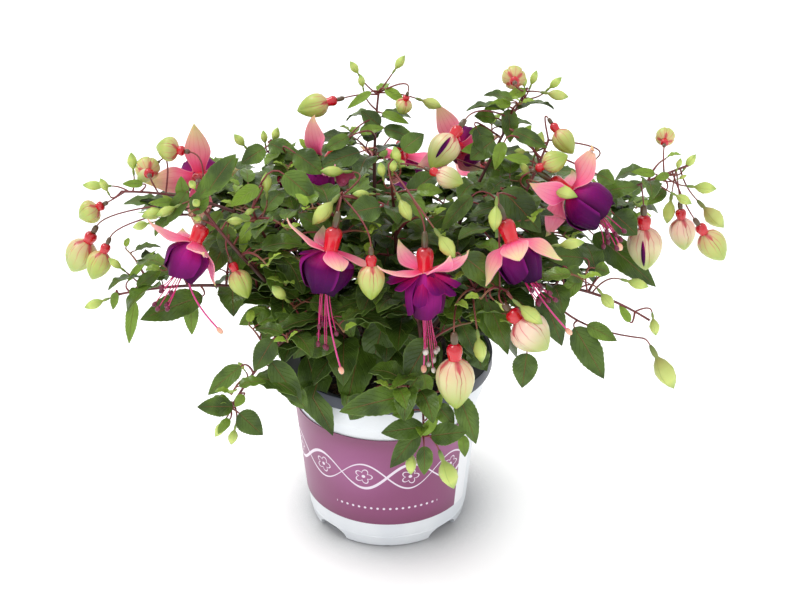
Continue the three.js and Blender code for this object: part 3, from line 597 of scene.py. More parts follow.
class Paint:
    """Every finish of the object, built once and handed out by name."""

    def __init__(self, wrap: PrintedWrap) -> None:
        """Builds the materials. The wrap's is handed in, because its sizes follow from the pot."""
        finishes = {
            "pot": Plastic("pot_plastic", (228, 232, 236), (218, 223, 229), 0.32, 0.05, 0.15),
            "wrap": wrap,
            "bowl": Plastic("bowl_plastic", (52, 58, 72), (44, 49, 62), 0.42, 0.12),
            "compost": Compost("compost"),
            "crumb": Compost("compost_crumb", (66, 44, 28), (122, 84, 52), 0.9),
            "perlite": Compost("perlite", (206, 202, 192), (236, 234, 228), 0.85),
            "leaf_upper": LeafSkin(Side.UPPER),
            "leaf_under": LeafSkin(Side.UNDER),
            "stem": Bark(),
            "green_bud": GreenBudSkin(),
            "large_bud": LargeBudSkin(),
            "tube": Waxy("flower_tube", TUBE_STOPS, 0.22, 0.6, 0.2),
            "ovary": Waxy("flower_ovary", OVARY_STOPS, 0.3, 0.4, 0.05),
            "sepal_outer": Petal("sepal_outer", SEPAL_OUTER_STOPS, (246, 168, 180), (216, 60, 104),
                                 (222, 218, 150), (0.0, 0.9), 5.0, 0.3, 0.42, 0.1, 0.25),
            "sepal_inner": Petal("sepal_inner", SEPAL_INNER_STOPS, (246, 160, 180), (212, 50, 110),
                                 (222, 214, 150), (0.0, 0.6), 5.0, 0.25, 0.5, 0.1, 0.25),
            "petal": Petal("petal_purple", PETAL_STOPS, (134, 24, 120), (112, 12, 92), (178, 36, 140),
                           (1.0, 0.3), 5.0, 0.12, 0.5, 0.0, 0.1, 0.08, 0.6),
            "skirt": Petal("petal_skirt", SKIRT_STOPS, (150, 20, 116), (206, 28, 96), (92, 10, 92),
                           (0.3, 1.0), 3.0, 0.2, 0.5, 0.0, 0.1, 0.08),
            "filament": Waxy("filament", FILAMENT_STOPS, 0.4, 0.2, 0.2),
            "anther": Waxy("anther", ANTHER_STOPS, 0.5, 0.2, 0.05),
            "pollen": Waxy("anther_pollen", POLLEN_STOPS, 0.9, 0.0, 0.0),
            "pistil": Waxy("pistil", PISTIL_STOPS, 0.35, 0.3, 0.2),
            "stigma": Waxy("stigma", STIGMA_STOPS, 0.5, 0.1, 0.3),
        }
        self.materials = {key: finish.build() for key, finish in finishes.items()}

    def __call__(self, *keys: str) -> list[Material]:
        """The materials of those names."""
        return [self.materials[key] for key in keys]


# ---- Mesh stock ----


@dataclass(frozen=True)
class Station:
    """One place on the spine of a blade, with the directions across and out of it."""

    point: Vector
    side: Vector
    normal: Vector

    def draped(self) -> "Station":
        """The same station, moved off the bowl and the pot."""
        return Station(draped(self.point), self.side, self.normal)


def new_part() -> BMesh:
    """An empty mesh with a UV map and a tint."""
    part = bmesh.new()
    part.loops.layers.uv.new("UVMap")
    part.verts.layers.float.new("tint")
    return part


def grid(columns: int, rows: int) -> BMesh:
    """A flat grid, 2 wide and 2 long, with its UVs from 0 to 1."""
    part = new_part()
    bmesh.ops.create_grid(part, x_segments=columns, y_segments=rows, size=1.0, calc_uvs=True)
    return part


def as_mesh(part: BMesh, name: str) -> Form:
    """Turns a worked mesh into stored data and frees it."""
    mesh = bpy.data.meshes.new(name)
    part.to_mesh(mesh)
    part.free()
    return mesh


def placed(name: str, data: bpy.types.ID) -> Piece:
    """A new object of the scene."""
    made = bpy.data.objects.new(name, data)
    bpy.context.scene.collection.objects.link(made)
    return made


def turned(profile: Sequence[Pair], steps: int) -> BMesh:
    """A closed solid spun about Z from (radius, height) points, with UVs round and along it."""
    part = new_part()
    line = [part.verts.new((radius, 0.0, height)) for radius, height in profile]
    edges = [part.edges.new(pair) for pair in zip(line, line[1:])]
    bmesh.ops.spin(part, geom=line + edges, cent=(0, 0, 0), axis=(0, 0, 1), dvec=(0, 0, 0),
                   angle=FULL_TURN, steps=steps, use_merge=True)
    closed(part)
    heights = [height for _, height in profile]
    wrap_uv(part, min(heights), max(heights))
    return part


def closed(part: BMesh) -> None:
    """Merges what meets and turns the faces outwards."""
    bmesh.ops.remove_doubles(part, verts=part.verts, dist=1e-4)
    bmesh.ops.recalc_face_normals(part, faces=part.faces)


def lobed(part: BMesh, depth: float, share: Callable[[float], float]) -> None:
    """Draws a turned shape out into four lobes, by a share that follows its height."""
    for vert in part.verts:
        lobe = 1 + depth * math.cos(4 * math.atan2(vert.co.y, vert.co.x)) * share(vert.co.z)
        vert.co = Vector((vert.co.x * lobe, vert.co.y * lobe, vert.co.z))


def wrap_uv(part: BMesh, low: float, high: float) -> None:
    """Writes UVs round Z and along it, without a face that runs back over the seam.

    Args:
        part: the turned mesh.
        low: the height that is given 0.
        high: the height that is given 1.
    """
    layer = part.loops.layers.uv.active
    for face in part.faces:
        middle = face.calc_center_median()
        centre = math.atan2(middle.y, middle.x)
        for loop in face.loops:
            place = loop.vert.co
            if place.x * place.x + place.y * place.y < 1e-8:
                angle = centre
            else:
                angle = centre + (math.atan2(place.y, place.x) - centre + math.pi) % FULL_TURN - math.pi
            loop[layer].uv = (angle / FULL_TURN, (place.z - low) / (high - low))


class Stock:
    """Gathers the parts of one piece, in millimetres, and turns them into one object."""

    def __init__(self) -> None:
        """Starts with nothing in it."""
        self.mesh = new_part()

    def take(self, part: BMesh, tint: float | None = None, material: int = 0) -> None:
        """Adds a worked mesh.

        Args:
            part: the mesh, which is freed.
            tint: the tint of all its vertices, or None to keep its own.
            material: the material index of all its faces.
        """
        stored = as_mesh(part, "part")
        self.add(stored, lambda place: place, tint, material)
        bpy.data.meshes.remove(stored)

    def add(self, form: Form, place: Callable[[Vector], Vector], tint: float | None = None,
            material: int | None = None) -> None:
        """Adds a stored form, each vertex moved by a function.

        Args:
            form: the stored mesh.
            place: gives a vertex its new place.
            tint: the tint of all its vertices, or None to keep its own.
            material: the material index of all its faces, or None to keep it.
        """
        verts, faces = len(self.mesh.verts), len(self.mesh.faces)
        self.mesh.from_mesh(form)
        self.mesh.verts.ensure_lookup_table()
        self.mesh.faces.ensure_lookup_table()
        layer = self.mesh.verts.layers.float["tint"]
        for vert in self.mesh.verts[verts:]:
            vert.co = place(vert.co)
            if tint is not None:
                vert[layer] = tint
        if material is not None:
            for face in self.mesh.faces[faces:]:
                face.material_index = material

    def sweep(self, path: Sequence[Vector], radii: Sequence[float], sides: int,
              tints: Sequence[float] | float = 0.5) -> None:
        """Adds a closed tube along a path.

        Args:
            path: the middle of each ring.
            radii: the radius of each ring.
            sides: how many sides a ring has.
            tints: the tint of each ring, or of all.
        """
        part = new_part()
        layer = part.verts.layers.float["tint"]
        shades = [tints] * len(path) if isinstance(tints, float) else tints
        ring: list = bmesh.ops.create_circle(part, cap_ends=True, segments=sides, radius=1.0)["verts"]
        edges = list(part.edges)
        ahead = (path[1] - path[0]).normalized()
        turn = UP.rotation_difference(ahead)
        before = Matrix.Identity(4)
        for i, (point, radius, shade) in enumerate(zip(path, radii, shades)):
            if i:
                made = bmesh.ops.extrude_edge_only(part, edges=edges)["geom"]
                ring = [item for item in made if isinstance(item, bmesh.types.BMVert)]
                edges = [item for item in made if isinstance(item, bmesh.types.BMEdge)]
                follows = (path[min(i + 1, len(path) - 1)] - path[i - 1]).normalized()
                turn = ahead.rotation_difference(follows) @ turn
                ahead = follows
            now = Matrix.LocRotScale(point, turn, Vector((radius, radius, radius)))
            bmesh.ops.transform(part, matrix=now @ before.inverted(), verts=ring)
            before = now
            for vert in ring:
                vert[layer] = shade
        bmesh.ops.edgeloop_fill(part, edges=edges)
        bmesh.ops.recalc_face_normals(part, faces=part.faces)
        self.take(part)

    def object(self, name: str, materials: Sequence[Material], slot: str, nodes: Iterable[str] = (),
               thickness: float = 0.0, sharp: float = 48.0) -> Piece:
        """Makes the finished piece.

        Args:
            name: the piece's name.
            materials: its materials. A sheet has its upper and under face's.
            slot: a material slot's name, which is not used.
            nodes: the CAD nodes that it stands for.
            thickness: the wall, in millimetres, that a sheet is given.
            sharp: edges that turn by more than this angle stay sharp.

        Returns:
            The object, riding on the body.
        """
        mesh = as_mesh(self.mesh, name)
        mesh.transform(Matrix.Scale(METRE, 4))
        for material in materials:
            mesh.materials.append(material)
        piece = placed(name, mesh)
        if thickness:
            walled(piece, thickness, len(materials) - 1)
        smoothed(piece, sharp)
        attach(piece, BODY)
        if nodes:
            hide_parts(*nodes)
        LOG.info("%s: %d faces", name, len(piece.data.polygons))
        return piece


def smoothed(piece: Piece, sharp: float) -> None:
    """Shades a piece smooth, but for the edges that turn by more than so many degrees."""
    piece.data.shade_smooth()
    piece.data.set_sharp_from_angle(angle=math.radians(sharp))


def walled(piece: Piece, thickness: float, under: int) -> None:
    """Gives a sheet its thickness, with its under face in the material that many places on."""
    wall = piece.modifiers.new("wall", "SOLIDIFY")
    wall.thickness = thickness * METRE
    wall.offset = 0.0
    wall.material_offset = under
    settle(piece)


def settle(piece: Piece) -> None:
    """Applies all the modifiers of a piece."""
    bpy.context.view_layer.update()
    seen = piece.evaluated_get(bpy.context.evaluated_depsgraph_get())
    mesh = bpy.data.meshes.new_from_object(seen)
    old = piece.data
    piece.modifiers.clear()
    piece.data = mesh
    bpy.data.meshes.remove(old)


# ---- Blades: leaves, sepals and petals ----


@dataclass
class BladeForm:
    """The flat outline of a blade on a grid: half width 1 at its fullest, length 1."""

    name: str
    rows: int
    columns: int
    outline: Callable[[float], float]
    teeth: float = 0.0
    mesh: Form = field(init=False)

    def __post_init__(self) -> None:
        """Builds the grid and draws its sides in to the outline."""
        part = grid(self.columns, self.rows)
        for vert in part.verts:
            along = (vert.co.y + 1) / 2
            tooth = 1 + self.teeth * (round(along * self.rows) % 2) * (abs(vert.co.x) > 0.99)
            vert.co = Vector((vert.co.x * self.outline(along) * tooth, along, 0.0))
        bmesh.ops.remove_doubles(part, verts=part.verts, dist=1e-5)
        self.mesh = as_mesh(part, self.name)

    def lay(self, stock: Stock, spine: Sequence[Station], half: float, fold: float, tint: float = 0.5,
            wave: float = 0.0, turn: float = 0.0, waves: float = 3.0) -> None:
        """Lays one blade along a spine.

        Args:
            stock: what it is added to.
            spine: a station for each row of the grid.
            half: its half width.
            fold: how far its sides rise, as a share of the half width.
            tint: its tint.
            wave: how far its edges wave.
            turn: where along the wave they start.
            waves: how many waves run along each edge.
        """

        def place(flat: Vector) -> Vector:
            """A vertex of the flat blade, moved to its station."""
            spot = spine[round(flat.y * (len(spine) - 1))]
            across = flat.x * half
            ripple = wave * math.sin(FULL_TURN * (waves * flat.y + turn) + (1.9 if flat.x > 0 else 0.0))
            rise = abs(across) * fold + ripple * flat.x * flat.x
            return spot.point + spot.side * across + spot.normal * rise

        stock.add(self.mesh, place, tint)


def leaf_outline(along: float) -> float:
    """Half width of a pointed oval leaf."""
    return 2.84 * along ** 0.6 * max(1 - along, 0.0) ** 0.96


def sepal_outline(along: float) -> float:
    """Half width of a sepal: broad at its root, fullest before the middle, drawn out at its tip."""
    full = 0.4
    if along < full:
        return mix(0.47, 1.0, smooth(along / full))
    return (1 - ((along - full) / (1 - full)) ** 1.6) ** 1.15


def petal_outline(along: float) -> float:
    """Half width of a short outer petal: narrow at its root, widest near its blunt end."""
    full = 0.76
    end = max(1 - (max(along - full, 0) / (1 - full)) ** 2, 0.0)
    return mix(0.26, 1.0, smooth(along / full)) * end ** 0.4


def drooping_spine(start: Vector, aim: Triple, length: float, rows: int, roll: float) -> list[Station]:
    """The spine of a leaf that leaves its stem at one elevation and droops towards its tip.

    Args:
        start: the leaf's root.
        aim: where it points, in radians, and its lean at the root and its droop by the tip, in degrees.
        length: its length.
        rows: the rows of the blade.
        roll: its turn about its own spine, in radians.

    Returns:
        A station for each row.
    """
    compass, lean, droop = aim
    point = start
    side = heading(compass - math.pi / 2, 0.0)
    stations = []
    for row in range(rows + 1):
        elevation = math.radians(lean - droop * row / rows)
        ahead = heading(compass, elevation)
        if row:
            point = point + ahead * (length / rows)
        spun = Matrix.Rotation(roll, 3, ahead)
        stations.append(Station(point, spun @ side, spun @ heading(compass, elevation + math.pi / 2)))
    return stations


def facing_spine(start: Vector, tip: Vector, lift: float, facing: Vector, rows: int) -> list[Station]:
    """The spine of a leaf that arches from its root to its tip with its upper face turned one way.

    Args:
        start: the leaf's root.
        tip: its tip.
        lift: how far its arch is pushed out, in millimetres.
        facing: the way that its upper face looks.
        rows: the rows of the blade.

    Returns:
        A station for each row.
    """
    bend = (start + tip) / 2 + facing.normalized() * lift
    stations = []
    for share in run(0.0, 1.0, rows):
        ahead = ((bend - start) * (1 - share) + (tip - bend) * share).normalized()
        side = ahead.cross(facing).normalized()
        stations.append(Station(arch(start, bend, tip, share), side, side.cross(ahead).normalized()))
    return stations


# ---- The pot, its wrap, the bowl and the ground ----


@dataclass
class Pot:
    """White pot: tapered wall, proud rim band, low feet with drain channels between them."""

    height: float = 117.8
    foot_radius: float = 51.0
    heel_radius: float = 56.3
    heel_height: float = 9.0
    wall_top: float = 101.5
    wall_top_radius: float = 64.3
    rim_radius: float = 66.5
    rim_inner: float = 64.4
    wall: float = 1.5
    floor: float = 12.6
    facets: int = 128
    channel_width: float = 26.0
    channel_height: float = 9.0
    channel_from: float = 22.0
    notch: float = 5.0

    def wall_radius(self, height: float) -> float:
        """The outer radius of the tapered wall at a height."""
        return mix(self.heel_radius, self.wall_top_radius,
                   (height - self.heel_height) / (self.wall_top - self.heel_height))

    def profile(self) -> list[tuple[float, float]]:
        """The pot's section, from the middle of the foot round to the middle of the inner floor."""
        step = self.heel_height + 1.0
        heel, rim, inner = self.heel_radius, self.rim_radius, self.rim_inner
        side, top, high = self.wall_top_radius, self.wall_top, self.height
        return [
            (0.0, 0.0), (self.foot_radius, 0.0), (heel - 2.6, 0.5), (heel - 1.5, 1.7),
            (heel - 0.25, self.heel_height - 0.6), (heel, self.heel_height),
            (self.wall_radius(step) - 0.45, step), (self.wall_radius(step + 0.7), step + 0.7),
            (self.wall_radius(60.0), 60.0), (side - 0.2, top - 0.6), (side + 0.4, top),
            (rim - 0.5, top + 0.9), (rim - 0.1, top + 2.0), (rim, high - 1.6), (rim - 0.35, high - 0.4),
            (rim - 0.9, high), (inner + 0.3, high), (inner, high - 0.4), (inner, top + 2.0),
            (side - self.wall, top),
            (heel - self.wall, self.floor + 1.5), (heel - self.wall - 2.0, self.floor), (0.0, self.floor),
        ]

    def cutter(self, width: float, height: float, start: float, turn: float) -> BMesh:
        """A flat-bottomed arch that runs outwards past the pot in one direction.

        Args:
            width: how wide it is.
            height: how high it is.
            start: the distance from the middle at which it starts.
            turn: its direction, in radians from the front.

        Returns:
            The closed arch.
        """
        part = new_part()
        bmesh.ops.create_circle(part, cap_ends=True, segments=36, radius=1.0)
        for vert in part.verts:
            arched = math.copysign(abs(vert.co.y) ** 0.75, vert.co.y)
            vert.co = Vector((vert.co.x * width / 2, -start, height * max(arched, -0.6)))
        out = bmesh.ops.extrude_face_region(part, geom=part.faces[:])["geom"]
        bmesh.ops.translate(part, verts=[v for v in out if isinstance(v, bmesh.types.BMVert)],
                            vec=(0.0, start - self.rim_radius, 0.0))
        bmesh.ops.rotate(part, verts=part.verts, cent=(0, 0, 0), matrix=Matrix.Rotation(turn, 3, "Z"))
        closed(part)
        return part

    def cut(self, piece: Piece, part: BMesh) -> None:
        """Cuts one shape out of the pot."""
        mesh = as_mesh(part, "cutter")
        mesh.transform(Matrix.Scale(METRE, 4))
        tool = placed("cutter", mesh)
        modifier = piece.modifiers.new("cut", "BOOLEAN")
        modifier.object = tool
        modifier.operation = "DIFFERENCE"
        modifier.solver = "EXACT"
        settle(piece)
        bpy.data.objects.remove(tool)
        bpy.data.meshes.remove(mesh)

    def build(self, paint: Paint) -> None:
        """Spins the pot and cuts its channels and the notch in its front foot."""
        stock = Stock()
        stock.take(turned(self.profile(), self.facets))
        piece = stock.object("outer_pot_moulded", paint("pot"), "pot_plastic", ["outer_pot"], sharp=35.0)
        for turn in (math.pi / 4 + quarter * math.pi / 2 for quarter in range(4)):
            self.cut(piece, self.cutter(self.channel_width, self.channel_height, self.channel_from, turn))
        self.cut(piece, self.cutter(self.notch, 1.6, self.foot_radius - 4, 0.0))
        smoothed(piece, 30.0)


@dataclass
class Wrap:
    """Printed wrap round the pot's wall, open at the back."""

    pot: Pot
    low: float = 21.8
    high: float = 93.6
    left: float = 128.6
    right: float = 64.3
    printed: float = 52.4
    thickness: float = 0.6
    clearance: float = 0.3
    columns: int = 120

    def finish(self) -> PrintedWrap:
        """The print, sized to the wrap."""
        radius = self.pot.wall_radius((self.low + self.high) / 2) + self.clearance
        return PrintedWrap("wrap_print", radius * math.radians(self.left + self.right), self.high - self.low,
                           radius * math.radians(self.left), radius * math.radians(self.printed))

    def build(self, paint: Paint) -> None:
        """Bends a grid round the pot and gives it its thickness."""
        part = grid(self.columns, 8)
        for vert in part.verts:
            share, rise = (vert.co.x + 1) / 2, (vert.co.y + 1) / 2
            angle = math.radians(mix(-90 - self.left, -90 + self.right, share))
            height = mix(self.low, self.high, rise)
            radius = self.pot.wall_radius(height) + self.clearance + self.thickness / 2
            vert.co = around(angle, radius, height)
        bmesh.ops.recalc_face_normals(part, faces=part.faces)
        stock = Stock()
        stock.take(part)
        stock.object("pot_wrap", paint("wrap"), "label", ["pot_label"], self.thickness, 40.0)


@dataclass
class Bowl:
    """Dark hanging bowl: round bottom, stepped lip over the pot's rim."""

    bottom: float = 24.0
    ledge_low: float = 118.1
    wall_top_radius: float = 61.5
    lip_radius: float = 71.8
    lip_top: float = 127.0
    ledge: float = 1.9
    wall: float = 2.0
    facets: int = 112

    def profile(self) -> list[tuple[float, float]]:
        """The bowl's section, from the middle of its underside to the middle of its inside."""
        lip, low, top = self.lip_radius, self.ledge_low, self.lip_top
        side, foot, ledge = self.wall_top_radius, self.bottom, self.ledge_low + self.ledge
        return [
            (0.0, foot), (18.0, foot + 1.0), (30.0, foot + 3.4), (41.0, foot + 11.0), (50.0, foot + 24.0),
            (55.0, 72.0), (side, low), (lip - 1.2, low), (lip - 0.3, low + 0.4), (lip, low + 1.3),
            (lip, top - 0.7), (lip - 0.3, top - 0.15), (lip - 0.8, top), (lip - 1.4, top - 0.1),
            (lip - 1.9, top - 0.7), (lip - 2.1, low + 2.4), (lip - 2.9, ledge), (side - self.wall, ledge),
            (53.0, 72.0), (48.0, foot + 25.0), (39.5, foot + 13.0), (28.6, foot + 5.4), (0.0, foot + 2.4),
        ]

    def build(self, paint: Paint) -> None:
        """Spins the bowl."""
        stock = Stock()
        stock.take(turned(self.profile(), self.facets))
        stock.object("bowl_moulded", paint("bowl"), "bowl_plastic", ["hanging_bowl"], sharp=35.0)


@dataclass
class Ground:
    """Compost in the bowl, with crumbs and white grains on it."""

    edge_radius: float = 58.6
    edge_top: float = 117.0
    middle_top: float = 121.5
    bottom: float = 60.0
    relief: float = 1.6
    crumbs: int = 240
    grains: int = 70
    seed: int = 7

    def level(self, place: Vector) -> float:
        """The height of the ground at a place."""
        share = clamp(math.hypot(place.x, place.y) / self.edge_radius, 0.0, 1.0)
        rough = (noise.noise(Vector((place.x, place.y, 0.0)) * 0.12)
                 + 0.5 * noise.noise(Vector((place.x, place.y, 9.0)) * 0.4))
        return mix(self.middle_top, self.edge_top, share * share) + self.relief * rough * (1 - share ** 6)

    def bed(self, paint: Paint) -> None:
        """The compost itself, one closed solid with a rough top."""
        rings = 26
        top = [(radius, self.edge_top) for radius in run(self.edge_radius, 0.0, rings)]
        part = turned([(0.0, self.bottom), (48.0, self.bottom), (self.edge_radius - 0.6, 110.0), *top], 88)
        for vert in part.verts:
            if vert.co.z >= self.edge_top - 0.01:
                vert.co.z = self.level(vert.co)
        stock = Stock()
        stock.take(part)
        stock.object("compost_bed", paint("compost"), "soil", ["soil"], sharp=80.0)

    def scatter(self, name: str, finish: list[Material], count: int, least: float, most: float,
                draws: random.Random) -> None:
        """Lumps strewn over the ground.

        Args:
            name: the piece's name.
            finish: their material.
            count: how many there are.
            least: the smallest radius.
            most: the largest radius.
            draws: the seeded draws.
        """
        part = new_part()
        bmesh.ops.create_icosphere(part, subdivisions=2, radius=1.0)
        lump = as_mesh(part, "lump")
        stock = Stock()
        for index in range(count):
            compass = draws.uniform(0, FULL_TURN)
            spot = around(compass, (self.edge_radius - 3.5) * math.sqrt(draws.random()), 0.0)
            size = mix(least, most, draws.random() ** 2.4)
            spot.z = self.level(spot) + size * 0.3

            def place(flat: Vector, size: float = size, spot: Vector = spot, index: int = index) -> Vector:
                """A vertex of the round lump, roughened and moved to its spot."""
                rough = 1 + 0.45 * noise.noise(flat * 1.7 + Vector((index * 3.1, 0.0, 0.0)))
                return spot + Vector((flat.x, flat.y * 0.86, flat.z * 0.7)) * size * rough

            stock.add(lump, place)
        stock.object(name, finish, "soil", sharp=60.0)

    def build(self, paint: Paint) -> None:
        """Lays the compost and strews it."""
        draws = random.Random(self.seed)
        self.bed(paint)
        self.scatter("compost_crumbs", paint("crumb"), self.crumbs, 0.8, 3.4, draws)
        self.scatter("perlite_grains", paint("perlite"), self.grains, 0.6, 1.9, draws)


# ---- The view of the photograph ----


@dataclass(frozen=True)
class PhotoView:
    """The photograph's camera: where it stands, how far it looks down, and its focal length in pixels."""

    place: Triple = (8.7, -756.0, 555.4)
    pitch: float = 27.39
    focal: float = 1272.0
    width: int = 800
    height: int = 600
    sensor: float = 36.0

    def spot(self, x: float, y: float, depth: float) -> Vector:
        """The place that a pixel shows at a depth, which is a Y of the object's frame."""
        down = math.radians(self.pitch)
        aside = (x - self.width / 2) / self.focal
        above = (self.height / 2 - y) / self.focal
        ahead = math.cos(down) + above * math.sin(down)
        reach = (depth - self.place[1]) / ahead
        rise = above * math.cos(down) - math.sin(down)
        return Vector((self.place[0] + aside * reach, depth, self.place[2] + rise * reach))

    def pixel(self, spot: Vector) -> Pair:
        """The pixel at which a place shows."""
        down = math.radians(self.pitch)
        offset = spot - Vector(self.place)
        ahead = offset.y * math.cos(down) - offset.z * math.sin(down)
        above = offset.y * math.sin(down) + offset.z * math.cos(down)
        return self.width / 2 + self.focal * offset.x / ahead, self.height / 2 - self.focal * above / ahead

    def clear_spot(self, x: float, y: float, depth: float) -> Vector:
        """The place that a pixel shows at a depth, brought nearer until it clears the lip and the pot."""
        spot = self.spot(x, y, depth)
        while spot.z < LIP_TOP and math.hypot(spot.x, spot.y) < LIP_RADIUS:
            depth -= 1.5
            spot = self.spot(x, y, depth)
        return spot


VIEW = PhotoView()
LIP_TOP = 130.0
LIP_RADIUS = 75.0


def draped(place: Vector) -> Vector:
    """A place moved off the bowl and the pot, up or outwards, whichever is nearer."""
    out = math.hypot(place.x, place.y)
    if place.z >= LIP_TOP or out >= LIP_RADIUS:
        return place
    if LIP_TOP - place.z < LIP_RADIUS - out:
        return Vector((place.x, place.y, LIP_TOP))
    return Vector((place.x * LIP_RADIUS / out, place.y * LIP_RADIUS / out, place.z))


@dataclass(frozen=True)
class Shown:
    """Something that the photograph shows whole: the pixels of its ends, half its width and its distance."""

    start: Pair
    end: Pair
    half: float
    distance: float

    def behind(self, pixel: Pair, distance: float) -> bool:
        """Whether a place at that pixel and distance stands before it."""
        if distance > self.distance:
            return False
        along = Vector(self.end) - Vector(self.start)
        off = Vector(pixel) - Vector(self.start)
        share = clamp(off.dot(along) / max(along.dot(along), 1e-6), 0.0, 1.0)
        return (off - along * share).length < self.half


def shown(start: Vector, end: Vector, half: float, slack: float = 6.0) -> Shown:
    """What shows between two places, half its width given in pixels."""
    far = max((place - Vector(VIEW.place)).length for place in (start, end))
    return Shown(VIEW.pixel(start), VIEW.pixel(end), half, far + slack)


# ---- Canes and leaves ----


@dataclass(frozen=True)
class CaneLine:
    """One cane: the knee that it arches over, its tip, its leaf pairs and its longest leaf.

    A twig is a side stem that the photograph shows: where it starts on the arch, its bend and its end.
    """

    name: str
    knee: Triple
    tip: Triple
    leaf: float
    pairs: int = 3
    root_turn: float = 0.0
    root_depth: float = 24.0
    soil_top: float = 123.0
    straight: float = 7.0
    knee_at: float = 0.62
    young: float = 0.0
    twig: tuple[float, Triple, Triple] | None = None

    def root(self) -> Vector:
        """Where the cane stands in the soil: on the side that it leans to."""
        out = clamp(math.hypot(self.knee[0], self.knee[1]) * 0.27, 7.0, 33.0)
        compass = math.atan2(self.knee[1], self.knee[0]) + math.radians(self.root_turn)
        return heading(compass, 0.0) * out + UP * (self.soil_top - self.root_depth)

    def ends(self) -> tuple[Vector, Vector, Vector]:
        """The start, bend and end of the cane's arch above the soil."""
        start = self.root()
        start.z = self.soil_top + self.straight
        tip, t = Vector(self.tip), self.knee_at
        bend = (Vector(self.knee) - start * (1 - t) ** 2 - tip * t * t) / (2 * t * (1 - t))
        return start, bend, tip

    def at(self, share: float) -> Vector:
        """A point on the arch."""
        return arch(*self.ends(), share)

    def ahead(self) -> float:
        """The compass angle of the cane's outer half."""
        out = self.at(1.0) - self.at(0.5)
        return math.atan2(out.y, out.x)

    def twig_line(self) -> list[Vector]:
        """The points of its twig, if it has one."""
        if self.twig is None:
            return []
        share, bend, end = self.twig
        return arch_points(self.at(share), Vector(bend), Vector(end), 14)

    def points(self, lowest: float) -> list[Vector]:
        """Points of the arch from a share on, and of its twig."""
        return [self.at(share) for share in run(lowest, 1.0, 50)] + self.twig_line()

    def nearest(self, place: Vector) -> Vector:
        """The point nearest to a place, on the outer half or the twig."""
        return min(self.points(0.46), key=lambda found: (found - place).length)

    def under_pixel(self, x: float, y: float) -> Vector:
        """The point that shows nearest to a pixel."""
        return min(self.points(0.1), key=lambda found: math.dist(VIEW.pixel(found), (x, y)))


CANES = (
    CaneLine("top_centre", (-8, 20, 249), (-5, 30, 298), 34),
    CaneLine("top_right", (55, 15, 230), (90, 30, 301), 36),
    CaneLine("right_high", (113, 0, 219), (193, 5, 258), 36, 4),
    CaneLine("right_low", (102, -50, 200), (168, -40, 170), 42, twig=(0.6, (110, -52, 170), (164, -44, 159))),
    CaneLine("left_high", (-94, -5, 228), (-170, 0, 242), 36, 4),
    CaneLine("left_low", (-98, -36, 192), (-175, -35, 185), 42, 3, -12.0),
    CaneLine("bottom_left", (-58, -80, 181), (-96, -90, 135), 34),
    CaneLine("front_hang", (20, -72, 188), (23, -104, 124), 36),
    CaneLine("centre", (6, -20, 217), (2, -45, 278), 40),
    CaneLine("centre_left", (-34, -50, 214), (-26, -60, 264), 40, young=0.08),
    CaneLine("left_centre", (-69, -35, 214), (-81, -45, 250), 38, young=0.16),
    CaneLine("top_left", (-50, 15, 237), (-75, 20, 270), 36, young=0.12),
    CaneLine("right_mid", (78, -25, 233), (102, 0, 277), 38),
    CaneLine("right_front", (54, -66, 204), (72, -88, 215), 42),
    CaneLine("left_front", (-86, -58, 222), (-112, -65, 266), 38, 3, 3.0, young=0.14),
    CaneLine("back_left", (-88, 78, 205), (-132, 112, 182), 40),
    CaneLine("back_middle", (-16, 90, 212), (-30, 144, 184), 42),
    CaneLine("back_right", (86, 76, 208), (130, 112, 190), 40),
    CaneLine("side_left", (-112, 36, 205), (-160, 58, 196), 38),
    CaneLine("side_right", (118, 40, 205), (166, 60, 200), 38),
)


@dataclass(frozen=True)
class PhotoLeaf:
    """A leaf that stands out in the photograph: its root, tip and width in pixels.

    Its small differences are drawn from its number. It starts so many millimetres nearer to the
    camera than its cane.
    """

    number: int
    root_x: float
    root_y: float
    tip_x: float
    tip_y: float
    width: float
    near: float = 5.0


